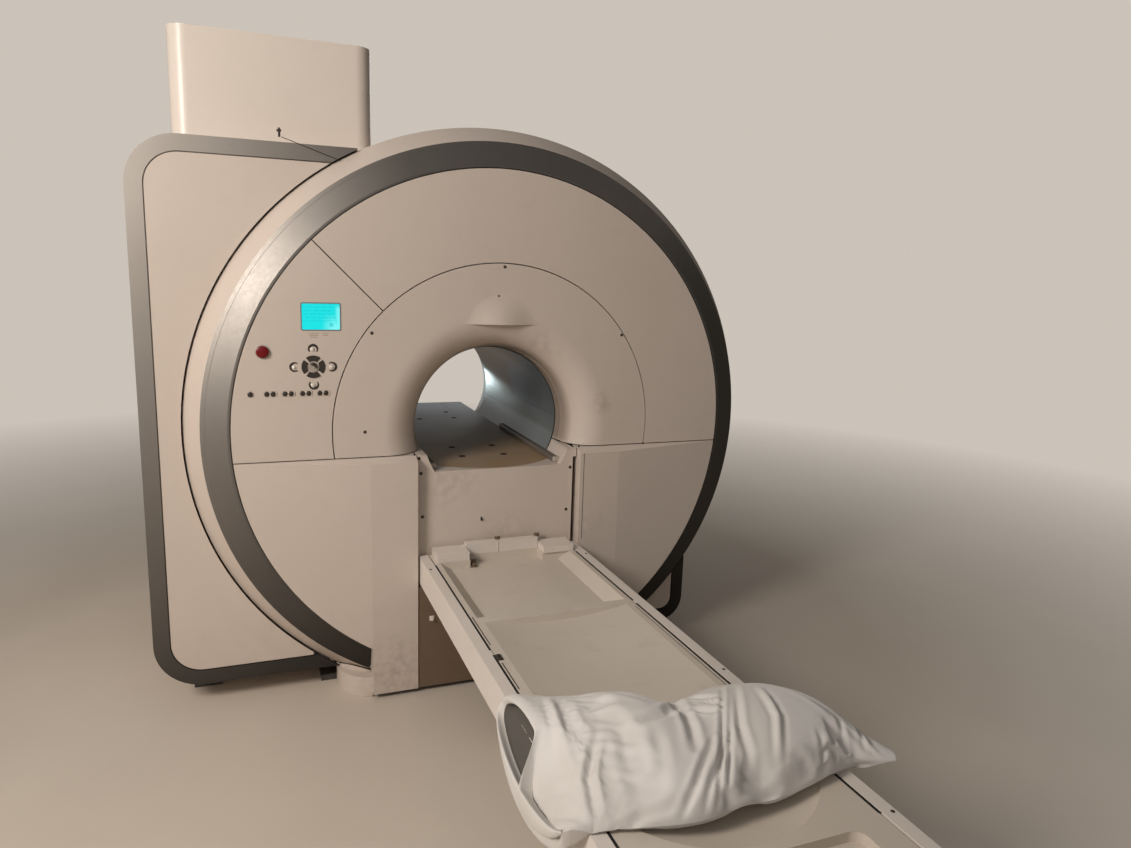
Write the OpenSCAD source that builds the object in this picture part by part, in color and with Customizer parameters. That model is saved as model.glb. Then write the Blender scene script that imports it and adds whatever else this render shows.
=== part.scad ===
// Whole-body magnetic resonance scanner with a lowered patient table.
// Origin on the floor below the isocentre, +Y along the bore away from the table, +Z up.

/* [Bore] */
// Height of the bore axis above the floor
axis_z = 1045; // [1030:5:1060]
// Radius of the patient bore inside the liner
bore_r = 300; // [290:2:306]
// Wall of the bore liner
liner_wall = 6; // [4:1:8]
// Half length of the bore liner
liner_half = 530; // [500:5:560]
// Height of the board's top over the floor
board_z = 885; // [870:5:895]
// Thickness of the board in the bore
board_t = 20; // [14:1:26]

/* [Magnet] */
// Outer radius of the vacuum vessel
vessel_r = 915; // [895:5:925]
// Radius of the vessel's warm bore
warm_bore_r = 450; // [445:1:460]
// Half length of the vacuum vessel
vessel_half = 655; // [645:5:660]
// Room between the vacuum vessel's outside and the helium vessel
helium_room = 55; // [45:5:65]
// Half length of the gradient coil
gradient_half = 515; // [480:5:520]
// Wall of the gradient coil
gradient_wall = 92; // [80:1:95]
// Radius of the service neck
neck_r = 120; // [100:5:130]

/* [Front] */
// Half length of the scanner over its covers
cover_half = 725; // [715:5:740]
// Outer radius of the front face covers
face_r = 975; // [960:5:985]
// Share of the face's radius at which the round seam about the bore lies
seam_share = 0.65; // [0.63:0.005:0.67]
// Width of the dark ring round the face
ring_w = 100; // [80:5:110]
// Radius of the bell mouth's curve
bell_r = 134; // [110:2:140]
// Radius of the lip at the bottom of the bell mouth
lip_r = 312; // [310:1:330]
// Height of the level seam across the face
seam_z = 955; // [940:5:965]
// Angle of the slanting seam beside the controls
control_seam_angle = 135; // [125:1:145]
// Wall of the moulded covers
cover_t = 6; // [4:1:8]
// Gap between neighbouring covers
seam_gap = 4; // [2:0.5:5]

/* [Lower covers] */
// Half distance between the two pillars
pillar_in = 330; // [326:1:345]
// Width of a pillar's flat front
pillar_w = 173; // [150:1:190]
// How far the pillars stand proud of the face
pillar_proud = 40; // [30:1:50]
// Height of the pillars' lower edge
pillar_foot_z = 20; // [14:1:30]
// Height of the panel below the table
dock_top_z = 432; // [400:2:440]

/* [Body] */
// Radius of the barrel behind the ring
barrel_r = 1135; // [1125:1:1140]
// Half width of the skirt below the barrel
skirt_half = 930; // [900:5:950]
// Height of the skirt's lower edge
skirt_z = 85; // [70:5:95]
// How far the cabinet stands out beyond the barrel's left side
cabinet_out = 135; // [110:5:150]
// How far the cabinet's top lies below the barrel's top
cabinet_drop = 115; // [100:5:150]
// Corner radius of the cabinet
corner_r = 170; // [140:5:190]
// Width of the dark band round the cabinet
band_w = 55; // [40:1:70]
// Front of the cabinet
cabinet_y = -604; // [-610:1:-600]

/* [Turret] */
// Height of the turret over the barrel
turret_h = 280; // [260:5:300]
// Width of the turret
turret_w = 705; // [680:5:720]
// Front of the turret
turret_front = -400; // [-420:5:-380]
// Depth of the turret
turret_depth = 720; // [680:5:760]

/* [Controls] */
// Travel of a key
key_travel = 2; // [1:0.5:3]
// Radius of the stop button
stop_r = 21; // [16:1:24]
// Height of the row of keys
key_row_z = 1200; // [1190:1:1215]

/* [Table] */
// Height of the table's rails when lowered
table_z = 560; // [545:1:575]
// Half width of the table
table_half = 322; // [300:1:324]
// Head end of the table
table_head = -738; // [-745:1:-736]
// Length of the table
table_len = 2015; // [1960:5:2100]
// Lift of the table
table_lift = 320; // [280:5:325]
// Height of the side panels
panel_h = 108; // [95:1:112]
// Depth of the hollow in the tabletop
dish_depth = 26; // [16:1:28]
// Half width of the lifting column
column_half = 100; // [85:1:104]
// Length of the lifting column
column_len = 800; // [700:10:900]

/* [Pillow] */
// Width of the pillow across the table
pillow_w = 830; // [800:10:880]
// Length of the pillow along the table
pillow_l = 560; // [500:10:580]
// Thickness of the pillow
pillow_t = 120; // [100:5:150]

/* [Hidden] */
$fn = 96;

// Clearance between seated pieces
fit = 0.3;
front_y = -cover_half;
rear_y = cover_half;
ring_r = face_r + ring_w;
seam_r = face_r * seam_share;
helium_r = vessel_r - helium_room;
cabinet_left = barrel_r + cabinet_out;
low_part_z = axis_z - barrel_r * 0.485;
cabinet_top = axis_z + barrel_r - cabinet_drop;
turret_left = barrel_r;
turret_top = axis_z + barrel_r + turret_h;
ring_back_y = front_y + 35;
rim_back_y = front_y + 165;
barrel_front_y = rim_back_y + seam_gap;
shell_rear_y = rear_y - 35;
body_front_y = cabinet_y + 6;
white = [0.86, 0.82, 0.76];
dark = [0.30, 0.29, 0.27];
steel = [0.62, 0.64, 0.66];
copper = [0.72, 0.45, 0.28];
cream = [0.84, 0.80, 0.70];

// Turns a profile of radius and length about the bore axis
module about_bore() {
  translate([0, 0, axis_z]) rotate([-90, 0, 0]) rotate_extrude($fn = 180) children();
}

// Turns a profile through part of a turn about the bore axis, from an angle above +X
module about_bore_part(start, angle) {
  translate([0, 0, axis_z]) rotate([-90, 0, 0]) rotate([0, 0, -start - angle])
    rotate_extrude(angle = angle) children();
}

// Stands a flat shape in X and Z between two values of Y
module standing(y0, y1) {
  translate([0, y1, 0]) rotate([90, 0, 0]) linear_extrude(y1 - y0) children();
}

// A box between two corners
module block(a, b) {
  translate(a) cube([b[0] - a[0], b[1] - a[1], b[2] - a[2]]);
}

// A flat rectangle between two corners
module panel(a, b) {
  translate(a) square([b[0] - a[0], b[1] - a[1]]);
}

// A flat rectangle between two corners with round corners of a given radius
module round_panel(a, b, r) {
  panel([a[0] + r, a[1]], [b[0] - r, b[1]]);
  panel([a[0], a[1] + r], [b[0], b[1] - r]);
  for (x = [a[0] + r, b[0] - r], z = [a[1] + r, b[1] - r]) translate([x, z]) circle(r);
}

// A round bar between two heights
module post(x, y, z0, z1, r) {
  translate([x, y, z0]) cylinder(h = z1 - z0, r = r);
}

// Everything below a height, for cutting seams
big = 3000;
module below(z) { block([-big, -big, z - big], [big, big, z]); }

// Magnet, from the outside in
vessel_wall = 10;
vessel_bore_wall = 8;
vessel_end = 25;
shield_gap = 20;
shield_t = 4;
shield_r = vessel_r - vessel_wall - shield_gap;
shield_bore_r = warm_bore_r + vessel_bore_wall + 12;
shield_half = vessel_half - vessel_end - 18;
helium_wall = 8;
helium_bore_r = shield_bore_r + shield_t + 16;
helium_half = shield_half - 22;
helium_end = 15;
neck_x = -600;
neck_wall = 8;
neck_top = turret_top - 320;
fill_r = 50;
rod_r = 10;
rod_ring_r = helium_r - 180;

module shell_profile(r_in, r_out, half, wall_in, wall_out, end) {
  difference() {
    panel([r_in, -half], [r_out, half]);
    panel([r_in + wall_in, -half + end], [r_out - wall_out, half - end]);
  }
}

module neck_bore(r) { post(neck_x, 0, axis_z, neck_top + 200, r); }

module vacuum_vessel() {
  color(steel) difference() {
    about_bore() shell_profile(warm_bore_r, vessel_r, vessel_half, vessel_bore_wall, vessel_wall, vessel_end);
    neck_bore(neck_r - neck_wall);
  }
}

module thermal_shield() {
  color([0.75, 0.75, 0.72]) difference() {
    about_bore() shell_profile(shield_bore_r, shield_r, shield_half, shield_t, shield_t, shield_t);
    neck_bore(fill_r + 15);
    suspension_rods(fit);
  }
}

module helium_vessel() {
  color([0.7, 0.72, 0.74]) difference() {
    union() {
      about_bore() shell_profile(helium_bore_r, helium_r, helium_half, helium_wall, helium_wall, helium_end);
      difference() {
        neck_bore_to(fill_r, neck_top - fit);
        about_bore() panel([0, -helium_half], [helium_r - helium_wall / 2, helium_half]);
      }
    }
    neck_bore(fill_r - 4);
  }
}

module neck_bore_to(r, z1) { post(neck_x, 0, axis_z, z1, r); }

// Coil former with a groove for each main coil and a shelf for each shield coil
former_r0 = helium_bore_r + helium_wall + fit;
former_t = 22;
main_coils_y = [[45, 115], [175, 265], [380, 530]];
main_coil_t = 62;
shield_coil_y = [400, 530];
shield_coil_r = helium_r - 125;
shield_coil_t = 60;
former_half = helium_half - helium_end - fit;
web_t = 12;

// The same ring at both ends of the bore axis
module end_rings(r0, r1, y0, y1) {
  panel([r0, y0], [r1, y1]);
  panel([r0, -y1], [r1, -y0]);
}

module former_profile() {
  r1 = former_r0 + former_t;
  panel([former_r0, -former_half], [r1, former_half]);
  for (c = main_coils_y, y = [c[0] - web_t, c[1]]) end_rings(r1 - 1, r1 + main_coil_t, y, y + web_t);
  end_rings(r1 - 1, shield_coil_r + shield_coil_t, shield_coil_y[1], shield_coil_y[1] + web_t);
  end_rings(shield_coil_r - web_t, shield_coil_r, shield_coil_y[0], shield_coil_y[1] + 1);
}

module coil_former() { color([0.6, 0.62, 0.65]) about_bore() former_profile(); }

module magnet_coils() {
  r1 = former_r0 + former_t + fit;
  color(copper) about_bore() {
    for (c = main_coils_y) end_rings(r1, r1 + main_coil_t - 4, c[0] + fit, c[1] - fit);
    end_rings(shield_coil_r + fit, shield_coil_r + shield_coil_t - 4, shield_coil_y[0] + fit, shield_coil_y[1] - fit);
  }
}

module suspension_rods(extra = 0) {
  y0 = helium_half + (extra > 0 ? -1 : fit);
  y1 = vessel_half - vessel_end - (extra > 0 ? -1 : fit);
  color([0.8, 0.7, 0.45]) for (a = [45:90:315], s = [-1, 1])
    translate([rod_ring_r * cos(a), s > 0 ? y0 : -y1, axis_z + rod_ring_r * sin(a)])
      rotate([-90, 0, 0]) cylinder(h = y1 - y0, r = rod_r + extra);
}

// Service neck, cold head and quench pipe inside the turret
neck_flange_r = 150;
neck_flange_t = 18;
cold_y = -78;
cold_r = 48;
quench_y = 78;
quench_r = 55;
quench_wall = 4;
quench_bolts = 8;
quench_pcd_r = 82;
quench_flange_r = quench_pcd_r + 18;

module service_neck() {
  color(steel) difference() {
    union() {
      difference() {
        neck_bore_to(neck_r, neck_top + 1);
        about_bore() panel([0, -vessel_half], [vessel_r + fit, vessel_half]);
      }
      post(neck_x, 0, neck_top, neck_top + neck_flange_t, neck_flange_r);
    }
    neck_bore_to(neck_r - neck_wall, neck_top);
    post(neck_x, quench_y, neck_top - 1, neck_top + neck_flange_t + 1, quench_r - quench_wall - 20);
  }
}

module cold_head() {
  z0 = neck_top + neck_flange_t + fit;
  color([0.55, 0.57, 0.6]) {
    post(neck_x, cold_y, z0, z0 + 14, cold_r + 14);
    post(neck_x, cold_y, z0 + 13, z0 + 120, cold_r);
    block([neck_x - 45, cold_y - 60, z0 + 120], [neck_x + 45, cold_y + 50, z0 + 210]);
    translate([neck_x, cold_y - 100, z0 + 165]) rotate([-90, 0, 0]) cylinder(h = 41, r = 14);
  }
}

module quench_pipe() {
  z0 = neck_top + neck_flange_t + fit;
  color(steel) difference() {
    union() {
      post(neck_x, quench_y, z0, turret_top, quench_r);
      post(neck_x, quench_y, z0, z0 + 12, quench_r + 15);
      post(neck_x, quench_y, turret_top - 14, turret_top, quench_flange_r);
    }
    post(neck_x, quench_y, z0 - 1, turret_top + 1, quench_r - quench_wall);
    for (i = [0:quench_bolts - 1])
      translate([neck_x, quench_y, 0]) rotate([0, 0, i * 360 / quench_bolts])
        post(quench_pcd_r, 0, turret_top - 15, turret_top + 1, 7);
  }
}

// Coils in the warm bore
gradient_r = warm_bore_r - 13;
module gradient_coil() {
  inner = gradient_r - gradient_wall;
  color([0.75, 0.72, 0.6]) about_bore() difference() {
    panel([inner, -gradient_half], [gradient_r, gradient_half]);
    end_rings(inner + 34, inner + 52, gradient_half - 30, gradient_half + 1);
  }
}

module gradient_supports() {
  color([0.25, 0.25, 0.25]) for (a = [35:90:305], y = [-470, 410])
    about_bore_part(a, 20) panel([gradient_r + fit, y], [warm_bore_r - fit, y + 60]);
}

rf_half = 330;
module rf_body_coil() {
  r0 = bore_r + liner_wall + fit;
  color([0.8, 0.6, 0.35]) about_bore() {
    panel([r0 + 10, -rf_half], [r0 + 16, rf_half]);
    for (y = [-rf_half, -8, rf_half - 16]) panel([r0, y], [r0 + 11, y + 16]);
    end_rings(r0 + 12, r0 + 22, rf_half - 50, rf_half);
  }
}

liner_flange_r = gradient_r - 12;
module bore_liner() {
  color([0.55, 0.62, 0.66]) about_bore() {
    panel([bore_r, -liner_half], [bore_r + liner_wall, liner_half]);
    end_rings(bore_r + 2, liner_flange_r, gradient_half + fit, gradient_half + fit + 8);
  }
}

// Four feet that carry the vessel from the floor, each with two anchor holes
foot_x = 560;
foot_y = 430;
foot_w = 240;
foot_l = 240;
anchor_r = 11;
anchor_off = 85;
module foot_column(sx, sy, z0, extra) {
  w = foot_w / 2 - 60 + extra;
  l = foot_l / 2 - 50 + extra;
  block([sx * foot_x - w, sy * foot_y - l, z0], [sx * foot_x + w, sy * foot_y + l, axis_z - 500]);
}

module magnet_feet() {
  color([0.35, 0.36, 0.38]) difference() {
    for (sx = [-1, 1], sy = [-1, 1]) {
      block([sx * foot_x - foot_w / 2, sy * foot_y - foot_l / 2, 0], [sx * foot_x + foot_w / 2, sy * foot_y + foot_l / 2, 24]);
      foot_column(sx, sy, 23, 0);
    }
    about_bore() panel([0, -vessel_half - 50], [vessel_r + fit, vessel_half + 50]);
    for (sx = [-1, 1], sy = [-1, 1], o = [-1, 1])
      post(sx * foot_x + o * anchor_off, sy * foot_y, -1, 25, anchor_r);
  }
}

// Outline of the body seen from the front, drawn inwards by a given amount
module body_outline(inset) {
  translate([0, axis_z]) circle(barrel_r - inset, $fn = 180);
  round_panel([-skirt_half + inset, skirt_z + inset], [skirt_half - inset, axis_z], max(corner_r - 60 - inset, 5));
  round_panel([-cabinet_left + inset, skirt_z + inset], [0, cabinet_top - inset], max(corner_r - inset, 5));
}

module body_section(inset) {
  intersection() {
    body_outline(inset);
    panel([-big, skirt_z + inset], [big, big]);
  }
}

module body_skin(t) {
  difference() {
    body_section(0);
    body_section(t);
  }
}

// Where the cabinet ends and the barrel begins, along the top and along the bottom
split_top_x = -515;
split_bottom_x = -650;
module cabinet_side() {
  panel([-big, axis_z], [split_top_x, big]);
  panel([-big, -big], [split_bottom_x, axis_z + 1]);
}

module turret_hole(extra) {
  round_panel([-turret_left - extra, turret_front - extra],
              [-turret_left + turret_w + extra, turret_front + turret_depth + extra], 60 + extra);
}

module cabinet_shell() {
  color(white) difference() {
    standing(body_front_y + fit, shell_rear_y) intersection() {
      body_skin(cover_t);
      cabinet_side();
    }
    translate([0, 0, axis_z + barrel_r / 2]) linear_extrude(barrel_r) turret_hole(-cover_t - 6);
    rack_feet(fit, 150);
  }
}

module barrel_cover() {
  color(white) difference() {
    union() {
      standing(barrel_front_y, shell_rear_y) difference() {
        body_skin(cover_t);
        offset_side(seam_gap);
      }
      standing(body_front_y + fit, barrel_front_y + 1) difference() {
        body_skin(cover_t);
        panel([-big, -big], [skirt_half - 300, big]);
        translate([0, axis_z]) circle(barrel_r + 2 * seam_gap, $fn = 180);
        panel([0, low_part_z], [big, big]);
      }
      standing(barrel_front_y - 20, barrel_front_y) lip_section(cover_t + fit);
      standing(barrel_front_y, barrel_front_y + 20) lip_section(cover_t - 1);
    }
    for (sx = [-1, 1], sy = [-1, 1]) foot_column(sx, sy, 0, 5);
    translate([0, 0, axis_z + barrel_r / 2]) linear_extrude(barrel_r) turret_hole(-cover_t - 6);
  }
}

// Lip of the barrel that lies under the edge of the rim
module lip_section(outer) {
  difference() {
    translate([0, axis_z]) circle(barrel_r - outer, $fn = 180);
    translate([0, axis_z]) circle(barrel_r - 2 * cover_t - fit, $fn = 180);
    offset_side(seam_gap);
    panel([-big, -big], [big, low_part_z - 50]);
  }
}

module offset_side(gap) {
  panel([-big, axis_z], [split_top_x + gap, big]);
  panel([-big, -big], [split_bottom_x + gap, axis_z + 1]);
}

// White rim that carries the dark ring, seated on the end of the vessel
module barrel_rim() {
  web_y = -vessel_half - fit;
  web_share = (web_y - cover_t - ring_back_y) / (rim_back_y - 30 - ring_back_y);
  web_r = ring_r + (barrel_r - ring_r) * web_share - cover_t / 3;
  color(white) difference() {
    about_bore() {
      panel([vessel_r - 60, web_y - cover_t], [web_r, web_y]);
      polygon([[ring_r, ring_back_y], [barrel_r, rim_back_y - 30], [barrel_r, rim_back_y],
               [barrel_r - cover_t, rim_back_y], [barrel_r - cover_t, rim_back_y - 28],
               [ring_r - cover_t, ring_back_y + 3], [ring_r - 2 * cover_t, ring_back_y]]);
    }
    below(skirt_z + 10);
    block([-pillar_in - pillar_w, -big, 0], [pillar_in + pillar_w, 0, axis_z - 700]);
  }
}

// Dark ring round the face, ending where the pillars stand
module face_ring() {
  color(dark) difference() {
    about_bore() {
      polygon([[face_r + seam_gap, front_y], [face_r + seam_gap + 8, front_y], [ring_r, ring_back_y - fit],
               [ring_r - 16, ring_back_y - fit], [face_r + seam_gap + 6, front_y + 12], [face_r + seam_gap, front_y + 12]]);
      panel([face_r + seam_gap, front_y + 11], [face_r + seam_gap + cover_t, ring_back_y - fit]);
      panel([face_r - 30, ring_back_y - cover_t - fit], [face_r + seam_gap + cover_t, ring_back_y - fit]);
      panel([face_r + seam_gap, ring_back_y - cover_t - fit], [ring_r - 14, ring_back_y - fit]);
      panel([ring_r - 70, ring_back_y - fit - 1], [ring_r - 62, -vessel_half - fit - cover_t - fit]);
    }
    ring_cut();
  }
}

module ring_cut() {
  below(skirt_z + 10);
  x = pillar_in + pillar_w + seam_gap;
  block([-x, -big, -big], [x, 0, axis_z - 300]);
}

// Face covers: a turned plate with a returned edge, cut at the seams
module face_profile() {
  panel([seam_r + seam_gap / 2, front_y], [face_r, front_y + cover_t]);
  panel([face_r - cover_t, front_y], [face_r, ring_back_y - cover_t - 2 * fit]);
  panel([seam_r + seam_gap / 2, front_y], [seam_r + seam_gap / 2 + cover_t, front_y + 25]);
}

// The side of the slanting seam that holds the controls
module control_sector(gap) {
  shift = gap / 2 / sin(control_seam_angle - 90);
  reach = 1600;
  standing(front_y - 50, front_y + 100) polygon([
    [-shift, axis_z], [-shift + reach * cos(control_seam_angle), axis_z + reach * sin(control_seam_angle)],
    [-reach - 600, axis_z + reach * sin(control_seam_angle)], [-reach - 600, 0], [-shift, 0]]);
}

module upper_cover() {
  color(white) difference() {
    about_bore() face_profile();
    below(seam_z + seam_gap / 2);
    control_sector(-seam_gap);
  }
}

// Places on the control cover, from shares of the face's radius left of the bore axis and above it
function on_face(left, up) = [-left * face_r, axis_z + up * face_r];
display_at = on_face(0.682, 0.437);
display_size = [130, 92];
stop_at = on_face(0.885, 0.311);
pad_at = on_face(0.712, 0.2555);
pad_r = 40;
switch_at = [-70, 682];
pad_in_r = 21;
centre_r = 17;
row_keys_x = [for (left = [0.930, 0.864, 0.802, 0.7415, 0.681]) -left * face_r];
row_key_w = [20, 46, 46, 46, 46];
row_key_h = 18;
key_gap = 0.5;
arrow_gap_angle = 8;

module arrow_shape(i, extra) {
  translate(pad_at) rotate(i * 90) difference() {
    circle(pad_r + extra);
    circle(pad_in_r - extra);
    for (s = [-1, 1]) rotate(s * (45 - arrow_gap_angle)) translate([0, s > 0 ? extra : -200 - extra])
      panel([-200, 0], [200, 200]);
    panel([-200, -200], [0, 200]);
  }
}

module row_key_shape(i, extra) {
  translate([row_keys_x[i], key_row_z]) round_panel(
    [-row_key_w[i] / 2 - extra, -row_key_h / 2 - extra], [row_key_w[i] / 2 + extra, row_key_h / 2 + extra], 4);
}

module control_cover() {
  color(white) difference() {
    union() {
      intersection() {
        about_bore() face_profile();
        control_sector(seam_gap);
      }
      // Back plate that holds the keys' springs
      standing(front_y + cover_t, front_y + 20) {
        translate(pad_at) circle(pad_r + 12);
        translate(stop_at) circle(stop_r + 10);
        for (i = [0:4]) row_back(i);
      }
    }
    below(seam_z + seam_gap / 2);
    standing(front_y - 1, front_y + cover_t + 1) translate(display_at)
      round_panel([-display_size[0] / 2 - fit, -display_size[1] / 2 - fit], [display_size[0] / 2 + fit, display_size[1] / 2 + fit], 5);
    standing(front_y - 1, front_y + 16) {
      translate(pad_at) circle(centre_r + key_gap);
      translate(stop_at) circle(stop_r - 6 + key_gap);
      for (i = [0:3]) arrow_shape(i, key_gap);
      for (i = [0:4]) row_key_shape(i, key_gap);
    }
  }
}

module row_back(i) {
  translate([row_keys_x[i], key_row_z]) round_panel(
    [-row_key_w[i] / 2 - 6, -row_key_h / 2 - 6], [row_key_w[i] / 2 + 6, row_key_h / 2 + 6], 5);
}

module display() {
  color([0.1, 0.8, 0.85]) {
    standing(front_y + 0.5, front_y + cover_t + fit) translate(display_at)
      round_panel([-display_size[0] / 2, -display_size[1] / 2], [display_size[0] / 2, display_size[1] / 2], 5);
    standing(front_y + cover_t + fit, front_y + 18) translate(display_at)
      round_panel([-display_size[0] / 2 - 8, -display_size[1] / 2 - 8], [display_size[0] / 2 + 8, display_size[1] / 2 + 8], 5);
  }
}

key_back_y = front_y + 13.5;
key_proud = 2.5;
module stop_button() {
  color([0.45, 0.02, 0.03]) {
    standing(front_y - 14, front_y - key_travel - 2) translate(stop_at) circle(stop_r);
    standing(front_y - key_travel - 3, key_back_y) translate(stop_at) circle(stop_r - 6);
  }
}

module centre_button() {
  color([0.75, 0.72, 0.68]) standing(front_y - key_proud - 1, key_back_y) translate(pad_at) circle(centre_r);
}

module arrow_key(i) {
  color([0.16, 0.14, 0.13]) standing(front_y - key_proud, key_back_y) arrow_shape(i, 0);
}

module row_key(i) {
  color([0.2, 0.18, 0.17]) standing(front_y - key_proud, key_back_y) row_key_shape(i, 0);
}

// Lower covers: a wedge that comes forward to a pillar with a flat front
pillar_y = front_y - pillar_proud;
bend_x = pillar_in + pillar_w;
cover_back_y = ring_back_y - cover_t - 2 * fit;
module lower_plan() {
  polygon([[-face_r, front_y], [-bend_x, pillar_y], [-pillar_in, pillar_y], [-pillar_in, cover_back_y], [-face_r, cover_back_y]]);
}
module lower_plan_inside() {
  polygon([[-face_r - 1, front_y + cover_t], [-bend_x, pillar_y + cover_t], [-pillar_in - cover_t, pillar_y + cover_t],
           [-pillar_in - cover_t, cover_back_y + 1], [-face_r - 1, cover_back_y + 1]]);
}
module lower_outline(r) {
  top = seam_z - seam_gap / 2;
  panel([-bend_x, pillar_foot_z], [-pillar_in, top]);
  intersection() {
    translate([0, axis_z]) circle(r, $fn = 180);
    panel([-face_r - 1, 0], [-bend_x + 1, top]);
  }
}
// Length of a side profile across the cover
module ledge(profile) {
  translate([-face_r - 10, 0, 0]) rotate([90, 0, 90]) linear_extrude(face_r) polygon(profile);
}
ledge_drop = 18;
module lower_cover() {
  top = seam_z - seam_gap / 2;
  ring_end_z = axis_z - sqrt(face_r * face_r - bend_x * bend_x);
  intersection() {
    standing(pillar_y - 1, cover_back_y + 1) lower_outline(face_r);
    union() {
      difference() {
        linear_extrude(top) difference() {
          lower_plan();
          lower_plan_inside();
        }
        ledge([[front_y, top], [front_y, top + 10], [pillar_y - 10, top + 10],
               [pillar_y - 10, top - ledge_drop * 1.25], [pillar_y, top - ledge_drop]]);
      }
      intersection() {
        linear_extrude(top) lower_plan();
        ledge([[cover_back_y, top], [front_y, top], [pillar_y, top - ledge_drop], [pillar_y, top - ledge_drop - cover_t],
               [front_y + cover_t, top - cover_t], [cover_back_y, top - cover_t]]);
      }
    }
  }
  block([-pillar_in - 60, cover_back_y - 5, top - cover_t], [-pillar_in, cover_back_y + 25, top]);
  intersection() {
    linear_extrude(top) lower_plan();
    union() {
      standing(pillar_y, cover_back_y) difference() {
        lower_outline(face_r);
        lower_outline(face_r - cover_t);
        panel([-bend_x, 0], [0, big]);
      }
      block([-bend_x, pillar_y, pillar_foot_z], [-bend_x + cover_t, cover_back_y, ring_end_z]);
    }
  }
}

module lower_left_cover() { color(white) lower_cover(); }
module lower_right_cover() { color(white) mirror([1, 0, 0]) lower_cover(); }

// Bell mouth about the bore with a hood over its top
collar_y = -liner_half - seam_gap;
bell_centre_r = lip_r + bell_r;
bell_y = front_y + bell_r;
module bell_profile(outer) {
  panel([bell_centre_r, front_y], [outer, front_y + cover_t]);
  intersection() {
    translate([bell_centre_r, bell_y]) difference() {
      circle(bell_r);
      circle(bell_r - cover_t);
    }
    panel([0, front_y - 1], [bell_centre_r, bell_y]);
  }
  polygon([[lip_r, bell_y], [lip_r + cover_t, bell_y], [bore_r + 3 + cover_t, collar_y], [bore_r + 3, collar_y]]);
}

hood_z = 1448;
hood_r = 150;
hood_h = 24;
hood_steps = 12;
module bore_surround() {
  color(white) {
    difference() {
      union() {
        about_bore() {
          bell_profile(seam_r - seam_gap / 2);
          panel([seam_r - seam_gap / 2 - cover_t, front_y], [seam_r - seam_gap / 2, front_y + 25]);
          // Flange over the end of the liner's carrier
          panel([liner_flange_r - 60, collar_y - 40], [liner_flange_r - 54, -gradient_half - 8 - 2 * fit]);
          panel([bore_r + 6, collar_y - 40], [liner_flange_r - 54, collar_y - 34]);
        }
        // Smooth swelling over the opening, cut level below
        difference() {
          translate([0, front_y, hood_z - 20]) rotate([90, 0, 0]) rotate_extrude() polygon(concat(
            [[0, -12]], [[hood_r, -12]],
            [for (i = [hood_steps:-1:0]) [hood_r * i / hood_steps, hood_h * (1 + cos(180 * i / hood_steps)) / 2 - 0.6]]));
          below(hood_z);
        }
      }
      below(seam_z + seam_gap / 2);
    }
  }
}

// Panel below the bore: a flat plate round the lower end of the opening, with a floor behind it
panel_half = pillar_in - seam_gap;
panel_right = panel_half - 14;
panel_right_top = 915;
panel_top = seam_z - seam_gap / 2;
mouth_r = bore_r + 3;
mouth_back_y = front_y + bell_r - 10;
module panel_outline() {
  difference() {
    union() {
      panel([-panel_half, dock_top_z + 20], [panel_right, panel_top]);
      panel([panel_right - 1, panel_right_top], [panel_half, panel_top]);
    }
    intersection() {
      translate([0, axis_z]) circle(mouth_r + cover_t / 2);
      panel([-big, board_z - board_t / 2], [big, big]);
    }
  }
}
// Side wall of the panel, from a height up to its top
module cheeks(z0, back_y) {
  for (x = [-panel_half, panel_right - cover_t])
    block([x, front_y, z0], [x + cover_t, back_y, panel_top]);
}

// Lower part of the mouth, with the floor that the board lies on
module mouth_outline() {
  intersection() {
    union() {
      difference() {
        translate([0, axis_z]) circle(mouth_r + cover_t);
        translate([0, axis_z]) circle(mouth_r);
      }
      difference() {
        translate([0, axis_z]) circle(mouth_r + 1);
        panel([-big, board_z - board_t - fit], [big, big]);
      }
    }
    panel([-panel_right + 1, board_z - board_t - 8], [panel_right - 1, panel_top]);
  }
}

module front_panel() {
  color(white) {
    difference() {
      standing(front_y, front_y + cover_t) panel_outline();
      // Slot for the switch below the bore
      standing(front_y - 1, front_y + cover_t + 1) translate(switch_at) round_panel([-4, -9], [4, 9], 3);
    }
    cheeks(dock_top_z + 20, -vessel_half - seam_gap);
    cheeks(axis_z - warm_bore_r + 170, mouth_back_y);
    // Top of both corners, which closes the bell mouth's end
    for (s = [-1, 1]) block([s > 0 ? mouth_r - 13 : -panel_half, front_y, panel_top - cover_t],
                            [s > 0 ? panel_right : -mouth_r + 13, mouth_back_y, panel_top]);
    standing(front_y, collar_y) mouth_outline();
    // Step in front of the board's round end
    intersection() {
      translate([0, 0, board_z - board_t - 1]) linear_extrude(board_t + 1) difference() {
        panel([-mouth_r, front_y], [mouth_r, -board_half + board_nose_r - 100]);
        translate([0, -board_half + board_nose_r]) circle(board_nose_r + fit);
      }
      standing(front_y, collar_y) translate([0, axis_z]) circle(mouth_r + 2);
    }
  }
}

// Lower panel behind the table's column
dock_y = pillar_y + 4;
module dock_cover() {
  color(white) {
    block([-panel_half, dock_y, pillar_foot_z], [panel_half, dock_y + cover_t, dock_top_z]);
    block([-panel_half, dock_y, dock_top_z], [panel_half, front_y + cover_t, dock_top_z + cover_t]);
    for (s = [-1, 1]) block([s > 0 ? panel_half - cover_t : -panel_half, dock_y, pillar_foot_z],
                            [s > 0 ? panel_half : -panel_half + cover_t, front_y + 60, dock_top_z + cover_t]);
    block([-panel_half, front_y, dock_top_z], [panel_half, front_y + cover_t, dock_top_z + 20 - fit]);
  }
}

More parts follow.
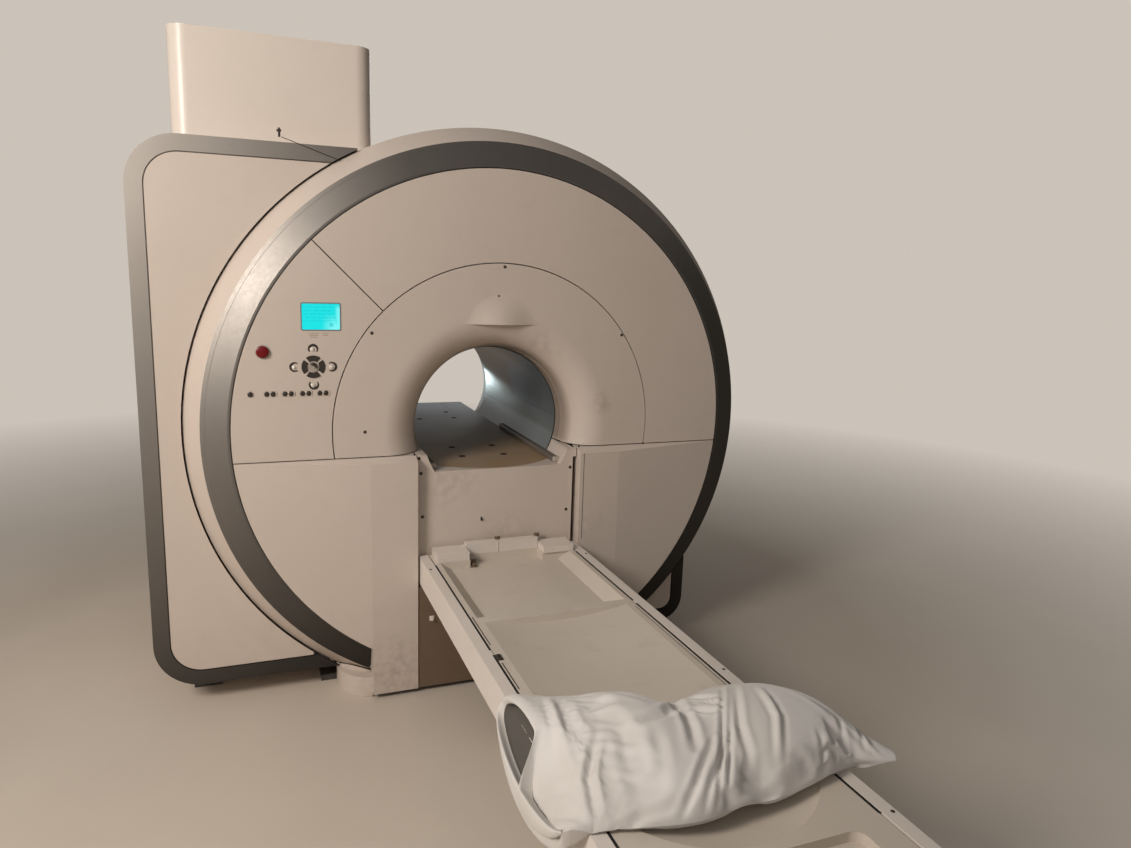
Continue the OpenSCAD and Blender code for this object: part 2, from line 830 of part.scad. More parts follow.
// White plinth on the floor below the ring
plinth_half = 620;
plinth_front = -742;
plinth_corner = 150;
module plinth_plan(front, extra) {
  round_panel([-plinth_half + extra, front + extra], [plinth_half - extra, -320 - extra], plinth_corner - extra);
}
module plinth_away() {
  panel([-pillar_in - pillar_w, plinth_front - 1], [pillar_in + pillar_w, -600]);
  panel([-big, rim_back_y - 2], [big, 0]);
}
module plinth() {
  color(white) {
    linear_extrude(skirt_z - 5) difference() {
      plinth_plan(plinth_front, 0);
      plinth_plan(plinth_front, cover_t);
      plinth_away();
    }
    // Apron that rises behind the dark ring to the barrel's edge
    difference() {
      linear_extrude(axis_z - face_r + 180) difference() {
        plinth_plan(ring_back_y + 2, 0);
        plinth_plan(ring_back_y + 2, cover_t);
        plinth_away();
      }
      about_bore() polygon([[0, plinth_front - 10], [ring_r + 8, plinth_front - 10], [ring_r + 8, ring_back_y + 3],
                            [barrel_r + 5, rim_back_y - 27], [barrel_r + 5, -200], [0, -200]]);
    }
    // Shelf that joins both walls
    translate([0, 0, skirt_z - 5 - cover_t]) linear_extrude(cover_t) difference() {
      plinth_plan(plinth_front, 0);
      plinth_plan(ring_back_y + 2, cover_t);
      plinth_away();
    }
  }
}

// Cabinet: white front, dark band, frame and units
module body_fronts() {
  color(white) standing(cabinet_y, body_front_y - fit) intersection() {
    body_section(band_w + seam_gap);
    difference() {
      union() {
        panel([-big, 0], [split_top_x, big]);
        panel([-big, 0], [big, low_part_z]);
      }
      translate([0, axis_z]) circle(barrel_r + seam_gap, $fn = 180);
      panel([split_bottom_x - 60, 0], [skirt_half - 260, axis_z]);
    }
  }
}

module band_reach() {
  difference() {
    union() {
      panel([-big, 0], [split_top_x, big]);
      panel([-big, 0], [big, low_part_z]);
    }
    translate([0, axis_z]) circle(barrel_r + seam_gap, $fn = 180);
  }
}

// Part of the band's back edge, which holds the white fronts
module band_flange(y0, inner) {
  standing(y0, body_front_y + 5) intersection() {
    difference() {
      body_section(cover_t + 8);
      body_section(inner);
    }
    band_reach();
  }
}

module body_band() {
  color(dark) {
    standing(cabinet_y - 2, body_front_y) intersection() {
      body_skin(band_w);
      band_reach();
    }
    band_flange(body_front_y - 1, band_w);
    band_flange(body_front_y, band_w + 20);
  }
}

rack_x = [-1205, -1000];
rack_y = [-540, 560];
rack_z = [160, 1880];
shelf_z = [200, 760, 1320];
post_w = 40;
rack_foot = [-1150, 102];
rack_foot_y = [-455, 380];
rack_foot_l = 100;
module rack_feet(extra, z1) {
  for (y = rack_foot_y) block([rack_foot[0] - extra, y - extra, 0], [rack_foot[0] + rack_foot[1] + extra, y + rack_foot_l + extra, z1]);
}
module rack_frame() {
  color([0.2, 0.2, 0.2]) {
    for (x = [rack_x[0], rack_x[1] - post_w], y = [rack_y[0], rack_y[1] - post_w])
      block([x, y, rack_z[0]], [x + post_w, y + post_w, rack_z[1]]);
    rack_feet(0, shelf_z[0] + 1);
    for (z = shelf_z) difference() {
      block([rack_x[0], rack_y[0], z], [rack_x[1], rack_y[1], z + 5]);
      for (x = [rack_x[0], rack_x[1] - post_w], y = [rack_y[0], rack_y[1] - post_w])
        block([x, y, z - 1], [x + post_w, y + post_w, z + 6]);
    }
  }
}

module rack_units() {
  color([0.5, 0.52, 0.54]) for (i = [0:2]) {
    z0 = shelf_z[i] + 5 + fit;
    block([rack_x[0] + post_w + 5, rack_y[0] + 10, z0], [rack_x[1] - post_w - 5, rack_y[1] - 10, z0 + 380]);
    block([rack_x[0] + post_w + 20, rack_y[0] - 6, z0 + 40], [rack_x[1] - post_w - 20, rack_y[0] + 11, z0 + 340]);
  }
}

module turret_cover() {
  foot_z = 1500;
  color(white) difference() {
    translate([0, 0, foot_z]) linear_extrude(turret_top - foot_z) difference() {
      turret_hole(0);
      turret_hole(-cover_t);
    }
    standing(turret_front - 50, turret_front + turret_depth + 50) body_outline(-fit);
  }
  color(white) difference() {
    translate([0, 0, turret_top - cover_t]) linear_extrude(cover_t) turret_hole(0);
    post(neck_x, quench_y, turret_top - 50, turret_top + 1, quench_flange_r + fit);
  }
}

// Rear covers: the round panel with its own bell mouth, and the cabinet's back
module rear_covers() {
  color(white) {
    difference() {
      union() {
        rear_shape();
        mirror([0, 1, 0]) about_bore() bell_profile(bell_centre_r + 20);
      }
      standing(0, rear_y + 1) panel([-big, -big], [split_top_x, big]);
      board_space(fit);
    }
    difference() {
      rear_shape();
      standing(0, rear_y + 1) panel([split_top_x - seam_gap, -big], [big, big]);
    }
  }
}

module rear_shape() {
  standing(rear_y - cover_t, rear_y) difference() {
    body_section(0);
    translate([0, axis_z]) circle(bell_centre_r + 1);
  }
  standing(shell_rear_y + fit, rear_y - cover_t / 2) body_skin(cover_t);
}

// Board in the bore, seated on the liner, with holes for its fasteners
hole_x = 90;
hole_y = [-490, -310, 390, 570];
board_half = cover_half - 8;
board_nose_r = 328;
board_back_y = 900;
module board_space(extra) {
  intersection() {
    about_bore() panel([0, -board_half - extra], [bore_r - fit + extra, board_back_y + extra]);
    linear_extrude(board_z + extra) {
      translate([0, -board_half + board_nose_r]) circle(board_nose_r + extra);
      panel([-bore_r - 1, -board_half + board_nose_r], [bore_r + 1, big]);
    }
    block([-big, -big, board_z - board_t - extra], [big, big, big]);
  }
}

module bore_board() {
  color([0.42, 0.42, 0.42]) difference() {
    board_space(0);
    for (x = [-hole_x, hole_x], y = hole_y) post(x, y, board_z - 12, board_z + 1, 11);
    for (s = [-1, 1]) block([s * 130 - 2, hole_y[3] + 8, board_z - 3], [s * 130 + 2, board_back_y + 1, board_z + 1]);
  }
}

// Runners on the board, against the liner on both sides
rail_in = 240;
rail_side_h = 18;
rail_rise = 44;
rail_y = [-690, 85];
module guide_rails() {
  color([0.7, 0.68, 0.64]) standing(rail_y[0], rail_y[1]) intersection() {
    translate([0, axis_z]) circle(bore_r - fit);
    for (s = [-1, 1]) polygon([[s * rail_in, board_z + fit], [s * rail_in, board_z + rail_side_h],
      [s * (rail_in + rail_rise), board_z + rail_side_h + rail_rise], [s * 400, board_z + rail_side_h + rail_rise], [s * 400, board_z + fit]]);
  }
}

// Table
table_foot = table_head - table_len;
rail_w = 34;
slot_w = 6;
top_half = table_half - rail_w - slot_w;
panel_t = 10;
top_z0 = table_z - 40;
beam_x = 215;
beam_w = 45;
beam_h = 50;
foot_cap_l = 60;
column_y = (table_head + table_foot) / 2 + 150;
stage_top = table_z - 220;
base_t = 16;
stage_wall = 5;
stage_gap = 0.5;

module side_panel() {
  y1 = table_head - 4;
  y0 = table_foot + foot_cap_l + 1;
  block([-table_half, y0, table_z - panel_h], [-table_half + panel_t, y1, table_z]);
  block([-table_half, y0, table_z - 12], [-table_half + rail_w, y1, table_z]);
  block([-table_half + 1, y0, top_z0 - 22], [-beam_x - beam_w / 2 - fit, y1, top_z0 - 14]);
  block([-table_half + 1, y0, table_z - panel_h], [-table_half + 26, y1, table_z - panel_h + 8]);
}
module side_panel_left() { color(white) side_panel(); }
module side_panel_right() { color(white) mirror([1, 0, 0]) side_panel(); }

module table_frame() {
  y0 = table_foot + 12;
  y1 = table_head;
  z1 = top_z0 - fit;
  color([0.35, 0.36, 0.38]) {
    difference() {
      union() {
        for (s = [-1, 1]) block([s * beam_x - beam_w / 2, y0, z1 - beam_h], [s * beam_x + beam_w / 2, y1 - 4, z1]);
        for (y = [y0 + 40, column_y - column_len / 2, column_y, column_y + column_len / 2 - 60, y1 - 120])
          block([-beam_x, y, z1 - beam_h], [beam_x, y + 60, z1 - 8]);
        block([-top_half, y1 - 4, table_z - panel_h], [top_half, y1, top_z0 - fit]);
      }
      block([-30, y0 + 20, z1 - beam_h + 12], [30, y1 - 20, z1 + 1]);
    }
  }
}

belt_y = [table_foot + 82, table_head - 90];
pulley_r = 14;
belt_t = 2;
module belt_drive() {
  z = top_z0 - fit - 20;
  color([0.12, 0.12, 0.12]) {
    for (y = belt_y) {
      translate([-12, y, z]) rotate([0, 90, 0]) cylinder(h = 24, r = pulley_r);
      translate([-30 + fit, y, z]) rotate([0, 90, 0]) cylinder(h = 60 - 2 * fit, r = 5);
    }
    translate([-10, 0, 0]) rotate([90, 0, 90]) linear_extrude(20) difference() {
      belt_loop(z, pulley_r + fit + belt_t);
      belt_loop(z, pulley_r + fit);
    }
  }
}
module belt_loop(z, r) {
  for (y = belt_y) translate([y, z]) circle(r);
  panel([belt_y[0], z - r], [belt_y[1], z + r]);
}

module foot_end_cover() {
  y0 = table_foot;
  y1 = table_foot + foot_cap_l;
  color(white) {
    translate([0, 0, table_z - panel_h]) linear_extrude(panel_h) difference() {
      foot_outline(0);
      foot_outline(panel_t);
      panel([-big, y1], [big, big]);
    }
    translate([0, 0, table_z - 12]) linear_extrude(12) difference() {
      foot_outline(0);
      foot_outline(rail_w);
      panel([-big, y1], [big, big]);
    }
    block([-200, y0 + 1, top_z0 - 40], [200, y0 + 12 - fit, top_z0 - 10]);
  }
}
module foot_outline(inset) {
  round_panel([-table_half + inset, table_foot + inset], [table_half - inset, table_foot + 400], max(60 - inset, 4));
}

// Dished tabletop: a hollow for the head, then a long shallow hollow with a round end
dish_half = top_half - 34;
head_hollow_y = [table_head - 100, table_head - 620];
hollow_slope = [46, 60];
dish_end_y = table_foot + 200;
dish_end_r = dish_half + 20;
module tabletop() {
  r = (dish_half * dish_half + dish_depth * dish_depth) / (2 * dish_depth);
  y0 = table_foot + rail_w + slot_w;
  y1 = table_head;
  color(cream) difference() {
    union() {
      block([-top_half, y0 + 60, top_z0], [top_half, y1, table_z - 2]);
      translate([0, 0, top_z0]) linear_extrude(table_z - 2 - top_z0)
        round_panel([-top_half, y0], [top_half, y0 + 200], 24);
    }
    intersection() {
      translate([0, 0, table_z - 2 + r - dish_depth]) rotate([90, 0, 0])
        translate([0, 0, -head_hollow_y[1] + 40]) cylinder(h = head_hollow_y[1] - 40 - dish_end_y, r = r, $fn = 200);
      union() {
        block([-big, dish_end_y + dish_end_r, 0], [big, 0, big]);
        post(0, dish_end_y + dish_end_r, 0, 1000, dish_end_r);
      }
    }
    intersection() {
      standing(head_hollow_y[1], head_hollow_y[0]) hollow_profile(-dish_half - 14, dish_half + 14, hollow_slope[0], hollow_slope[0]);
      translate([-big, 0, 0]) rotate([90, 0, 90]) linear_extrude(2 * big)
        hollow_profile(head_hollow_y[1], head_hollow_y[0] + 60, hollow_slope[1], 1);
    }
    block([back_plate[0] + 1, head_hollow_y[0] - 20, table_z - 2 - 32], [back_plate[1] - 1, back_plate_y, 1000]);
    translate([0, 0, table_z - 2 - 24]) linear_extrude(100)
      round_panel([-dish_half + 40, table_foot + 70], [dish_half - 40, dish_end_y - 26], 30);
  }
}

// Side view of a hollow with sloping ends
module hollow_profile(a, b, slope_a, slope_b) {
  top = table_z - 2;
  polygon([[a, top + 50], [a, top + 0.5], [a + slope_a, top - 32], [b - slope_b, top - 32], [b, top + 0.5], [b, top + 50]]);
}

// Head end: a block on each side and a back plate in two halves between them
back_plate = [-145, 150];
back_plate_y = table_head - 37;
module coil_sockets() {
  z0 = table_z - 2 + fit;
  color(white) {
    block([-272, table_head - 100, z0], [back_plate[0] - 2, table_head - 8, table_z + 30]);
    block([back_plate[1] + 2, table_head - 108, z0], [278, table_head - 12, table_z + 24]);
    for (x = [[back_plate[0], -13], [-11, back_plate[1]]])
      block([x[0], back_plate_y, z0], [x[1], table_head - 8, table_z + 42]);
  }
}

// Lift: three boxes that slide in each other
module stage(index, z0, z1) {
  half = column_half - index * (stage_wall + stage_gap);
  len = column_len / 2 - index * (stage_wall + stage_gap);
  difference() {
    block([-half, column_y - len, z0], [half, column_y + len, z1]);
    block([-half + stage_wall, column_y - len + stage_wall, z0 - 1], [half - stage_wall, column_y + len - stage_wall, z1 + 1]);
  }
}
module table_base() {
  color([0.3, 0.3, 0.3]) block([-column_half - 4, column_y - column_len / 2 - 20, 0], [column_half + 4, column_y + column_len / 2 + 20, base_t]);
}
module lift_stage_lower() { color([0.7, 0.7, 0.68]) stage(0, base_t + fit, stage_top); }
module lift_stage_middle() { color([0.66, 0.66, 0.64]) stage(1, base_t + 14, stage_top + 10); }
module lift_stage_upper() { color([0.62, 0.62, 0.6]) stage(2, base_t + 24, top_z0 - beam_h - 2 * fit); }

pillow_at = [20, -2235];
module pillow() {
  z0 = table_z + fit;
  // Corners as shares of the width and length, with a radius and a height
  corners = [[-0.35, 0.60, 45, 45], [0.31, 0.24, 60, 80], [0.47, -0.34, 26, 45], [0.13, -0.38, 55, 75],
             [-0.11, -0.40, 55, 75], [-0.37, -0.31, 55, 60]];
  color([0.9, 0.9, 0.9]) translate([pillow_at[0], pillow_at[1], z0]) {
    hull() {
      for (c = corners) translate([c[0] * pillow_w, c[1] * pillow_l, 0]) cylinder(h = c[3], r1 = c[2] * 0.7, r2 = c[2], $fn = 16);
      translate([-0.22 * pillow_w, -0.22 * pillow_l, 0]) cube([0.44 * pillow_w, 0.42 * pillow_l, pillow_t]);
    }
    // Open end of the cover, which hangs over the rail
    hull() {
      translate([-table_half - pillow_at[0] - 50, -0.31 * pillow_l, -90]) cube([30, 0.78 * pillow_l, 40]);
      translate([-table_half - pillow_at[0] - 58, -0.36 * pillow_l, -10]) cube([56, 0.90 * pillow_l, 50]);
    }
  }
}

vacuum_vessel();
thermal_shield();
helium_vessel();
coil_former();
magnet_coils();
suspension_rods();
service_neck();
cold_head();
quench_pipe();
gradient_coil();
gradient_supports();
rf_body_coil();
bore_liner();
magnet_feet();
turret_cover();
barrel_cover();
barrel_rim();
face_ring();
upper_cover();
control_cover();
lower_left_cover();
lower_right_cover();
bore_surround();
front_panel();
dock_cover();
plinth();
body_fronts();
body_band();
cabinet_shell();
rack_frame();
rack_units();
rear_covers();
bore_board();
guide_rails();
display();
stop_button();
centre_button();
for (i = [0:3]) arrow_key(i);
for (i = [0:4]) row_key(i);
table_base();
lift_stage_lower();
lift_stage_middle();
lift_stage_upper();
table_frame();
belt_drive();
side_panel_left();
side_panel_right();
foot_end_cover();
tabletop();
coil_sockets();
pillow();
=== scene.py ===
"""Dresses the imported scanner: camera, light, finishes, small fittings and the pillow."""
import math

import bmesh
import bpy
import numpy as np
from mathutils import Matrix, Vector


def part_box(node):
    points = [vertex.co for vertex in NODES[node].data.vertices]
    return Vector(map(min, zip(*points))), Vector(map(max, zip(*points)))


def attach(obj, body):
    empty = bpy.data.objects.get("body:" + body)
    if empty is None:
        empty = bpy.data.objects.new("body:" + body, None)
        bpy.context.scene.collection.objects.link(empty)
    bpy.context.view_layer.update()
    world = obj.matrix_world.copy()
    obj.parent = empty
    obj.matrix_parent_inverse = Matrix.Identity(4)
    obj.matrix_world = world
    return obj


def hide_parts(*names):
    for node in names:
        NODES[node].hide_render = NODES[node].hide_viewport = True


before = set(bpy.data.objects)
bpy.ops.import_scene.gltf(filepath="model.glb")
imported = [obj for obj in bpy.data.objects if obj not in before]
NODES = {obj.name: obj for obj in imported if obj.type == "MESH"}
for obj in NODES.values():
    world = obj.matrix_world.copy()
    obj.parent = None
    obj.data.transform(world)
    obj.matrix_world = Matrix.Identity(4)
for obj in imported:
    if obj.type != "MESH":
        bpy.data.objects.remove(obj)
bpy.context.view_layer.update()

# Sizes that the source sets, in metres
AXIS_Z = 1.045
FACE_Y = -0.725
BACK_Y = 0.725
BOARD_Z = 0.885
TABLE_Z = 0.560
TABLE_TOP_Z = 0.558
TABLE_HEAD = -0.738
TABLE_FOOT = -2.753

# Ways that small pieces face
FORWARD = (0, -1, 0)
BACKWARD = (0, 1, 0)
LEFTWARD = (-1, 0, 0)
UPWARD = (0, 0, 1)


# Camera and light

CAMERA_PLACE = (-0.92430, -3.72493, 1.65187)
CAMERA_RIGHT = Vector((0.93031, -0.36536, 0.03231))
CAMERA_UP = Vector((0.03729, 0.18185, 0.98262))
CAMERA_AHEAD = Vector((0.36489, 0.91293, -0.18280))
SENSOR_WIDTH = 36.0
FOCAL_LENGTH = 25.935
FAR_CLIP = 60.0

# Name, place, aim, width of its disc, power in watts and colour of each lamp
LAMPS = (
    ("lamp_left", (-2.9, -2.75, 2.7), (-0.6, -0.8, 1.1), 1.2, 88, (1.0, 0.93, 0.86)),
    ("lamp_right", (2.6, -2.4, 3.4), (0.4, -1.4, 0.6), 1.0, 3, (1.0, 0.93, 0.86)),
    ("lamp_viewer", (-1.6, -5.6, 2.9), (0.0, -1.2, 0.8), 2.0, 10, (1.0, 0.96, 0.92)),
    ("lamp_bore", (-0.12, 2.5, 0.78), (0.20, 0.5, 1.10), 0.34, 1.6, (0.80, 0.97, 1.0)),
    ("lamp_back", (1.6, 3.6, 3.2), (0.1, 0.6, 1.0), 1.2, 12, (0.95, 0.98, 1.0)),
)
BACKDROP = (0.60, 0.545, 0.485, 1.0)
ROOM_LIGHT = (0.95, 0.91, 0.86, 1.0)
# Strength of the room's light from the left and from the right
ROOM_LEFT, ROOM_RIGHT = 0.42, 0.04


def into_scene(name, data):
    made = bpy.data.objects.new(name, data)
    bpy.context.scene.collection.objects.link(made)
    return made


def set_up_camera():
    camera = into_scene("camera", bpy.data.cameras.new("camera"))
    turn = Matrix((CAMERA_RIGHT, CAMERA_UP, -CAMERA_AHEAD)).transposed().to_4x4()
    camera.matrix_world = Matrix.Translation(CAMERA_PLACE) @ turn
    camera.data.sensor_fit = "HORIZONTAL"
    camera.data.sensor_width = SENSOR_WIDTH
    camera.data.lens = FOCAL_LENGTH
    camera.data.clip_end = FAR_CLIP
    bpy.context.scene.camera = camera


def add_lamp(name, place, aim, size, power, color):
    data = bpy.data.lights.new(name, "AREA")
    data.shape = "DISK"
    data.size = size
    data.energy = power
    data.color = color
    lamp = into_scene(name, data)
    lamp.location = place
    lamp.visible_camera = False
    lamp.rotation_euler = (Vector(aim) - Vector(place)).to_track_quat("-Z", "Y").to_euler()


def set_up_light():
    """Five soft lamps, a room that is brighter on the left, and a plain backdrop for the camera alone."""
    bpy.context.scene.view_settings.view_transform = "Standard"
    for lamp in LAMPS:
        add_lamp(*lamp)
    world = bpy.data.worlds.new("room")
    bpy.context.scene.world = world
    world.use_nodes = True
    tree = world.node_tree
    tree.nodes.clear()
    out = tree.nodes.new("ShaderNodeOutputWorld")
    way = tree.nodes.new("ShaderNodeTexCoord").outputs["Generated"]
    strength = between(tree, split(tree, way)["X"], -0.9, 0.7, ROOM_LEFT, ROOM_RIGHT)
    soft = add(tree, "ShaderNodeBackground", Color=ROOM_LIGHT, Strength=strength).outputs[0]
    seen = add(tree, "ShaderNodeBackground", Color=BACKDROP, Strength=1.0).outputs[0]
    ray = tree.nodes.new("ShaderNodeLightPath").outputs["Is Camera Ray"]
    blend = add(tree, "ShaderNodeMixShader", i0=ray, i1=soft, i2=seen).outputs[0]
    tree.links.new(blend, out.inputs[0])


# Nodes

NUMBER, COLOR = "NodeSocketFloat", "NodeSocketColor"


def add(tree, kind, settings=None, **values):
    """Adds a node, sets its properties from settings and its sockets from values or links."""
    node = tree.nodes.new(kind)
    for key, value in (settings or {}).items():
        setattr(node, key, value)
    for key, value in values.items():
        by_number = key[0] == "i" and key[1:].isdigit()
        socket = node.inputs[int(key[1:])] if by_number else node.inputs[key.replace("_", " ")]
        if isinstance(value, bpy.types.NodeSocket):
            tree.links.new(value, socket)
        else:
            socket.default_value = value
    return node


def math_node(tree, operation, a, b=0.0, clamp=False):
    return add(tree, "ShaderNodeMath", {"operation": operation, "use_clamp": clamp}, i0=a, i1=b).outputs[0]


def times(tree, a, b):
    return math_node(tree, "MULTIPLY", a, b)


def plus(tree, a, b, clamp=False):
    return math_node(tree, "ADD", a, b, clamp)


def between(tree, value, low, high, out_low=0.0, out_high=1.0):
    node = add(tree, "ShaderNodeMapRange", {"clamp": True}, Value=value)
    for i, number in enumerate((low, high, out_low, out_high)):
        node.inputs[i + 1].default_value = number
    return node.outputs[0]


def object_place(tree):
    return tree.nodes.new("ShaderNodeTexCoord").outputs["Object"]


def split(tree, vector):
    return add(tree, "ShaderNodeSeparateXYZ", Vector=vector).outputs


def noise(tree, place, scale, detail, **more):
    return add(tree, "ShaderNodeTexNoise", Vector=place, Scale=scale, Detail=detail, **more).outputs["Fac"]


def stripes(tree, place, direction, scale):
    settings = {"wave_type": "BANDS", "bands_direction": direction}
    return add(tree, "ShaderNodeTexWave", settings, Vector=place, Scale=scale).outputs["Fac"]


def far_from(tree, place, centre):
    return add(tree, "ShaderNodeVectorMath", {"operation": "DISTANCE"}, i0=place, i1=centre).outputs["Value"]


def mixed(tree, share, first, second, blend="MIX"):
    """A colour between two, the first where share is 0."""
    settings = {"data_type": "RGBA", "blend_type": blend}
    return add(tree, "ShaderNodeMix", settings, i0=share, i6=first, i7=second).outputs[2]


def new_group(name, inputs, outputs):
    group = bpy.data.node_groups.new(name, "ShaderNodeTree")
    for label, kind, value in inputs:
        socket = group.interface.new_socket(label, in_out="INPUT", socket_type=kind)
        socket.default_value = value
    for label, kind in outputs:
        group.interface.new_socket(label, in_out="OUTPUT", socket_type=kind)
    return group, group.nodes.new("NodeGroupInput").outputs, group.nodes.new("NodeGroupOutput").inputs


# Shader groups that several finishes share

def make_hand_grime():
    """Broad tone changes, smudges and the dirt that gathers near the floor."""
    tree, given, out = new_group(
        "hand_grime",
        [("Clean", COLOR, (0.7, 0.65, 0.58, 1.0)), ("Grime", COLOR, (0.3, 0.25, 0.2, 1.0)),
         ("Tone", NUMBER, 0.5), ("Smudge", NUMBER, 0.5),
         ("Floor Dirt", NUMBER, 0.5), ("Smooth", NUMBER, 0.3)],
        [("Color", COLOR), ("Roughness", NUMBER)])
    place = object_place(tree)
    broad = noise(tree, place, 1.3, 4.0)
    spots = noise(tree, place, 13.0, 7.0, Roughness=0.62)
    fine = noise(tree, place, 95.0, 3.0)
    tone = times(tree, between(tree, broad, 0.35, 0.7), given["Tone"])
    smudge = times(tree, between(tree, spots, 0.56, 0.78), given["Smudge"])
    low = math_node(tree, "POWER", between(tree, split(tree, place)["Z"], 0.0, 0.6, 1.0, 0.0), 2.2)
    low = times(tree, times(tree, low, between(tree, spots, 0.3, 0.65, 0.35, 1.0)), given["Floor Dirt"])
    mask = plus(tree, plus(tree, tone, smudge), low, clamp=True)
    tree.links.new(mixed(tree, mask, given["Clean"], given["Grime"]), out["Color"])
    matt = plus(tree, times(tree, mask, 0.25), between(tree, fine, 0.3, 0.7, -0.03, 0.03))
    tree.links.new(plus(tree, given["Smooth"], matt), out["Roughness"])
    return tree


def make_moulded_grain():
    """Height of a moulded or sprayed skin: a faint orange peel with fine grain on it."""
    tree, given, out = new_group("moulded_grain", [("Peel Scale", NUMBER, 120.0)], [("Height", NUMBER)])
    place = object_place(tree)
    peel = noise(tree, place, given["Peel Scale"], 2.0)
    grain = noise(tree, place, 900.0, 1.0)
    tree.links.new(plus(tree, peel, times(tree, grain, 0.4)), out["Height"])
    return tree


def make_metal_lines():
    """Fine lines of rolled or turned metal along one axis."""
    tree, given, out = new_group("metal_lines", [("Stretch", "NodeSocketVector", (8.0, 400.0, 8.0))],
                                 [("Height", NUMBER), ("Tone", NUMBER)])
    moved = add(tree, "ShaderNodeMapping", Vector=object_place(tree), Scale=given["Stretch"]).outputs[0]
    lines = noise(tree, moved, 1.0, 3.0)
    tree.links.new(lines, out["Height"])
    tree.links.new(between(tree, lines, 0.3, 0.7, 0.85, 1.05), out["Tone"])
    return tree


GRIME = make_hand_grime()
GRAIN = make_moulded_grain()
LINES = make_metal_lines()


# Ways of making finishes

DIRT_BROWN = (0.20, 0.145, 0.105, 1.0)
# Colour of the painted shade in the throat of the bell mouth
THROAT_SHADE = (0.17, 0.125, 0.09, 1.0)


def new_finish(name, color, roughness, metallic=0.0, coat=0.0, specular=0.5):
    material = bpy.data.materials.new(name)
    material.use_nodes = True
    material.diffuse_color = (*color, 1.0)
    shader = material.node_tree.nodes["Principled BSDF"].inputs
    shader["Base Color"].default_value = (*color, 1.0)
    shader["Roughness"].default_value = roughness
    shader["Metallic"].default_value = metallic
    shader["Coat Weight"].default_value = coat
    shader["Coat Roughness"].default_value = 0.12
    shader["Specular IOR Level"].default_value = specular
    return material, material.node_tree, shader


def add_relief(tree, shader, height, strength, distance):
    bump = add(tree, "ShaderNodeBump", Height=height, Strength=strength, Distance=distance)
    tree.links.new(bump.outputs[0], shader["Normal"])


def moulded_finish(name, clean, grime, roughness, tone=0.12, smudge=0.10, floor_dirt=0.0, metallic=0.0,
                   coat=0.0, bump=0.05, peel=120.0):
    material, tree, shader = new_finish(name, clean, roughness, metallic, coat)
    worn = add(tree, "ShaderNodeGroup", {"node_tree": GRIME}, Clean=(*clean, 1.0), Grime=(*grime, 1.0),
               Tone=tone, Smudge=smudge, Floor_Dirt=floor_dirt, Smooth=roughness).outputs
    skin = add(tree, "ShaderNodeGroup", {"node_tree": GRAIN}, Peel_Scale=peel).outputs[0]
    add_relief(tree, shader, skin, bump, 0.002)
    tree.links.new(worn["Color"], shader["Base Color"])
    tree.links.new(worn["Roughness"], shader["Roughness"])
    return material


def metal_finish(name, color, roughness, stretch, metallic=1.0):
    material, tree, shader = new_finish(name, color, roughness, metallic)
    lines = add(tree, "ShaderNodeGroup", {"node_tree": LINES}, Stretch=stretch).outputs
    add_relief(tree, shader, lines["Height"], 0.08, 0.001)
    tree.links.new(mixed(tree, 1.0, (*color, 1.0), lines["Tone"], "MULTIPLY"), shader["Base Color"])
    return material


def board_finish():
    """Dark laminate, brown at the mouth; paler and bluer towards the far end as a painted reflection."""
    material, tree, shader = new_finish("board_laminate_and_reflection", (0.10, 0.07, 0.045), 0.34, specular=0.3)
    place = object_place(tree)
    cloud = between(tree, noise(tree, place, 5.0, 4.0), 0.2, 0.8, -0.12, 0.12)
    far = plus(tree, between(tree, split(tree, place)["Y"], -0.25, 0.75), cloud, clamp=True)
    # The pale blue far colour is a painted reflection of the lit room
    tree.links.new(mixed(tree, far, (0.36, 0.25, 0.145, 1.0), (0.74, 0.80, 0.88, 1.0)), shader["Base Color"])
    return material


def own_color(material):
    """The tree of a finish, its colour as it stands and the socket that takes a new one."""
    tree = material.node_tree
    goal = tree.nodes["Principled BSDF"].inputs["Base Color"]
    return tree, goal.links[0].from_socket, goal


def shade_band(material):
    """Paints light and shade into the satin band's colour: bright at the upper left, dark at the right and
    near the floor.
    """
    tree, color, goal = own_color(material)
    place = split(tree, object_place(tree))
    across = between(tree, place["X"], -1.25, -0.35, 1.5, 0.5)
    level = times(tree, across, between(tree, place["Z"], 0.05, 1.9, 0.2, 1.35))
    scaled = add(tree, "ShaderNodeVectorMath", {"operation": "SCALE"}, i0=color, Scale=level)
    tree.links.new(scaled.outputs[0], goal)


def shade_throat(material):
    """Paints shade on the lip of a bell mouth, darker towards the tube."""
    tree, color, goal = own_color(material)
    place = object_place(tree)
    flat = add(tree, "ShaderNodeVectorMath", {"operation": "MULTIPLY"}, i0=place, i1=(1.0, 0.0, 1.0))
    near = between(tree, far_from(tree, flat.outputs[0], (0.0, 0.0, AXIS_Z)), 0.330, 0.306, 0.0, 0.75)
    mask = times(tree, near, between(tree, split(tree, place)["Z"], 0.94, 0.97))
    tree.links.new(mixed(tree, mask, color, THROAT_SHADE), goal)


def add_stains(material, stains):
    """Darkens soft round patches of a finish; each is a place, a radius and a strength."""
    tree, color, goal = own_color(material)
    place = object_place(tree)
    ragged = noise(tree, place, 34.0, 5.0)
    for centre, radius, strength in stains:
        spot = between(tree, far_from(tree, place, centre), radius, 0.15 * radius)
        mask = times(tree, spot, between(tree, ragged, 0.42, 0.68))
        color = mixed(tree, times(tree, mask, strength), color, DIRT_BROWN)
    tree.links.new(color, goal)


# Left and right, and lower and upper edge of the screen
SCREEN_X = (-0.730, -0.600)
SCREEN_Z = (1.425, 1.517)


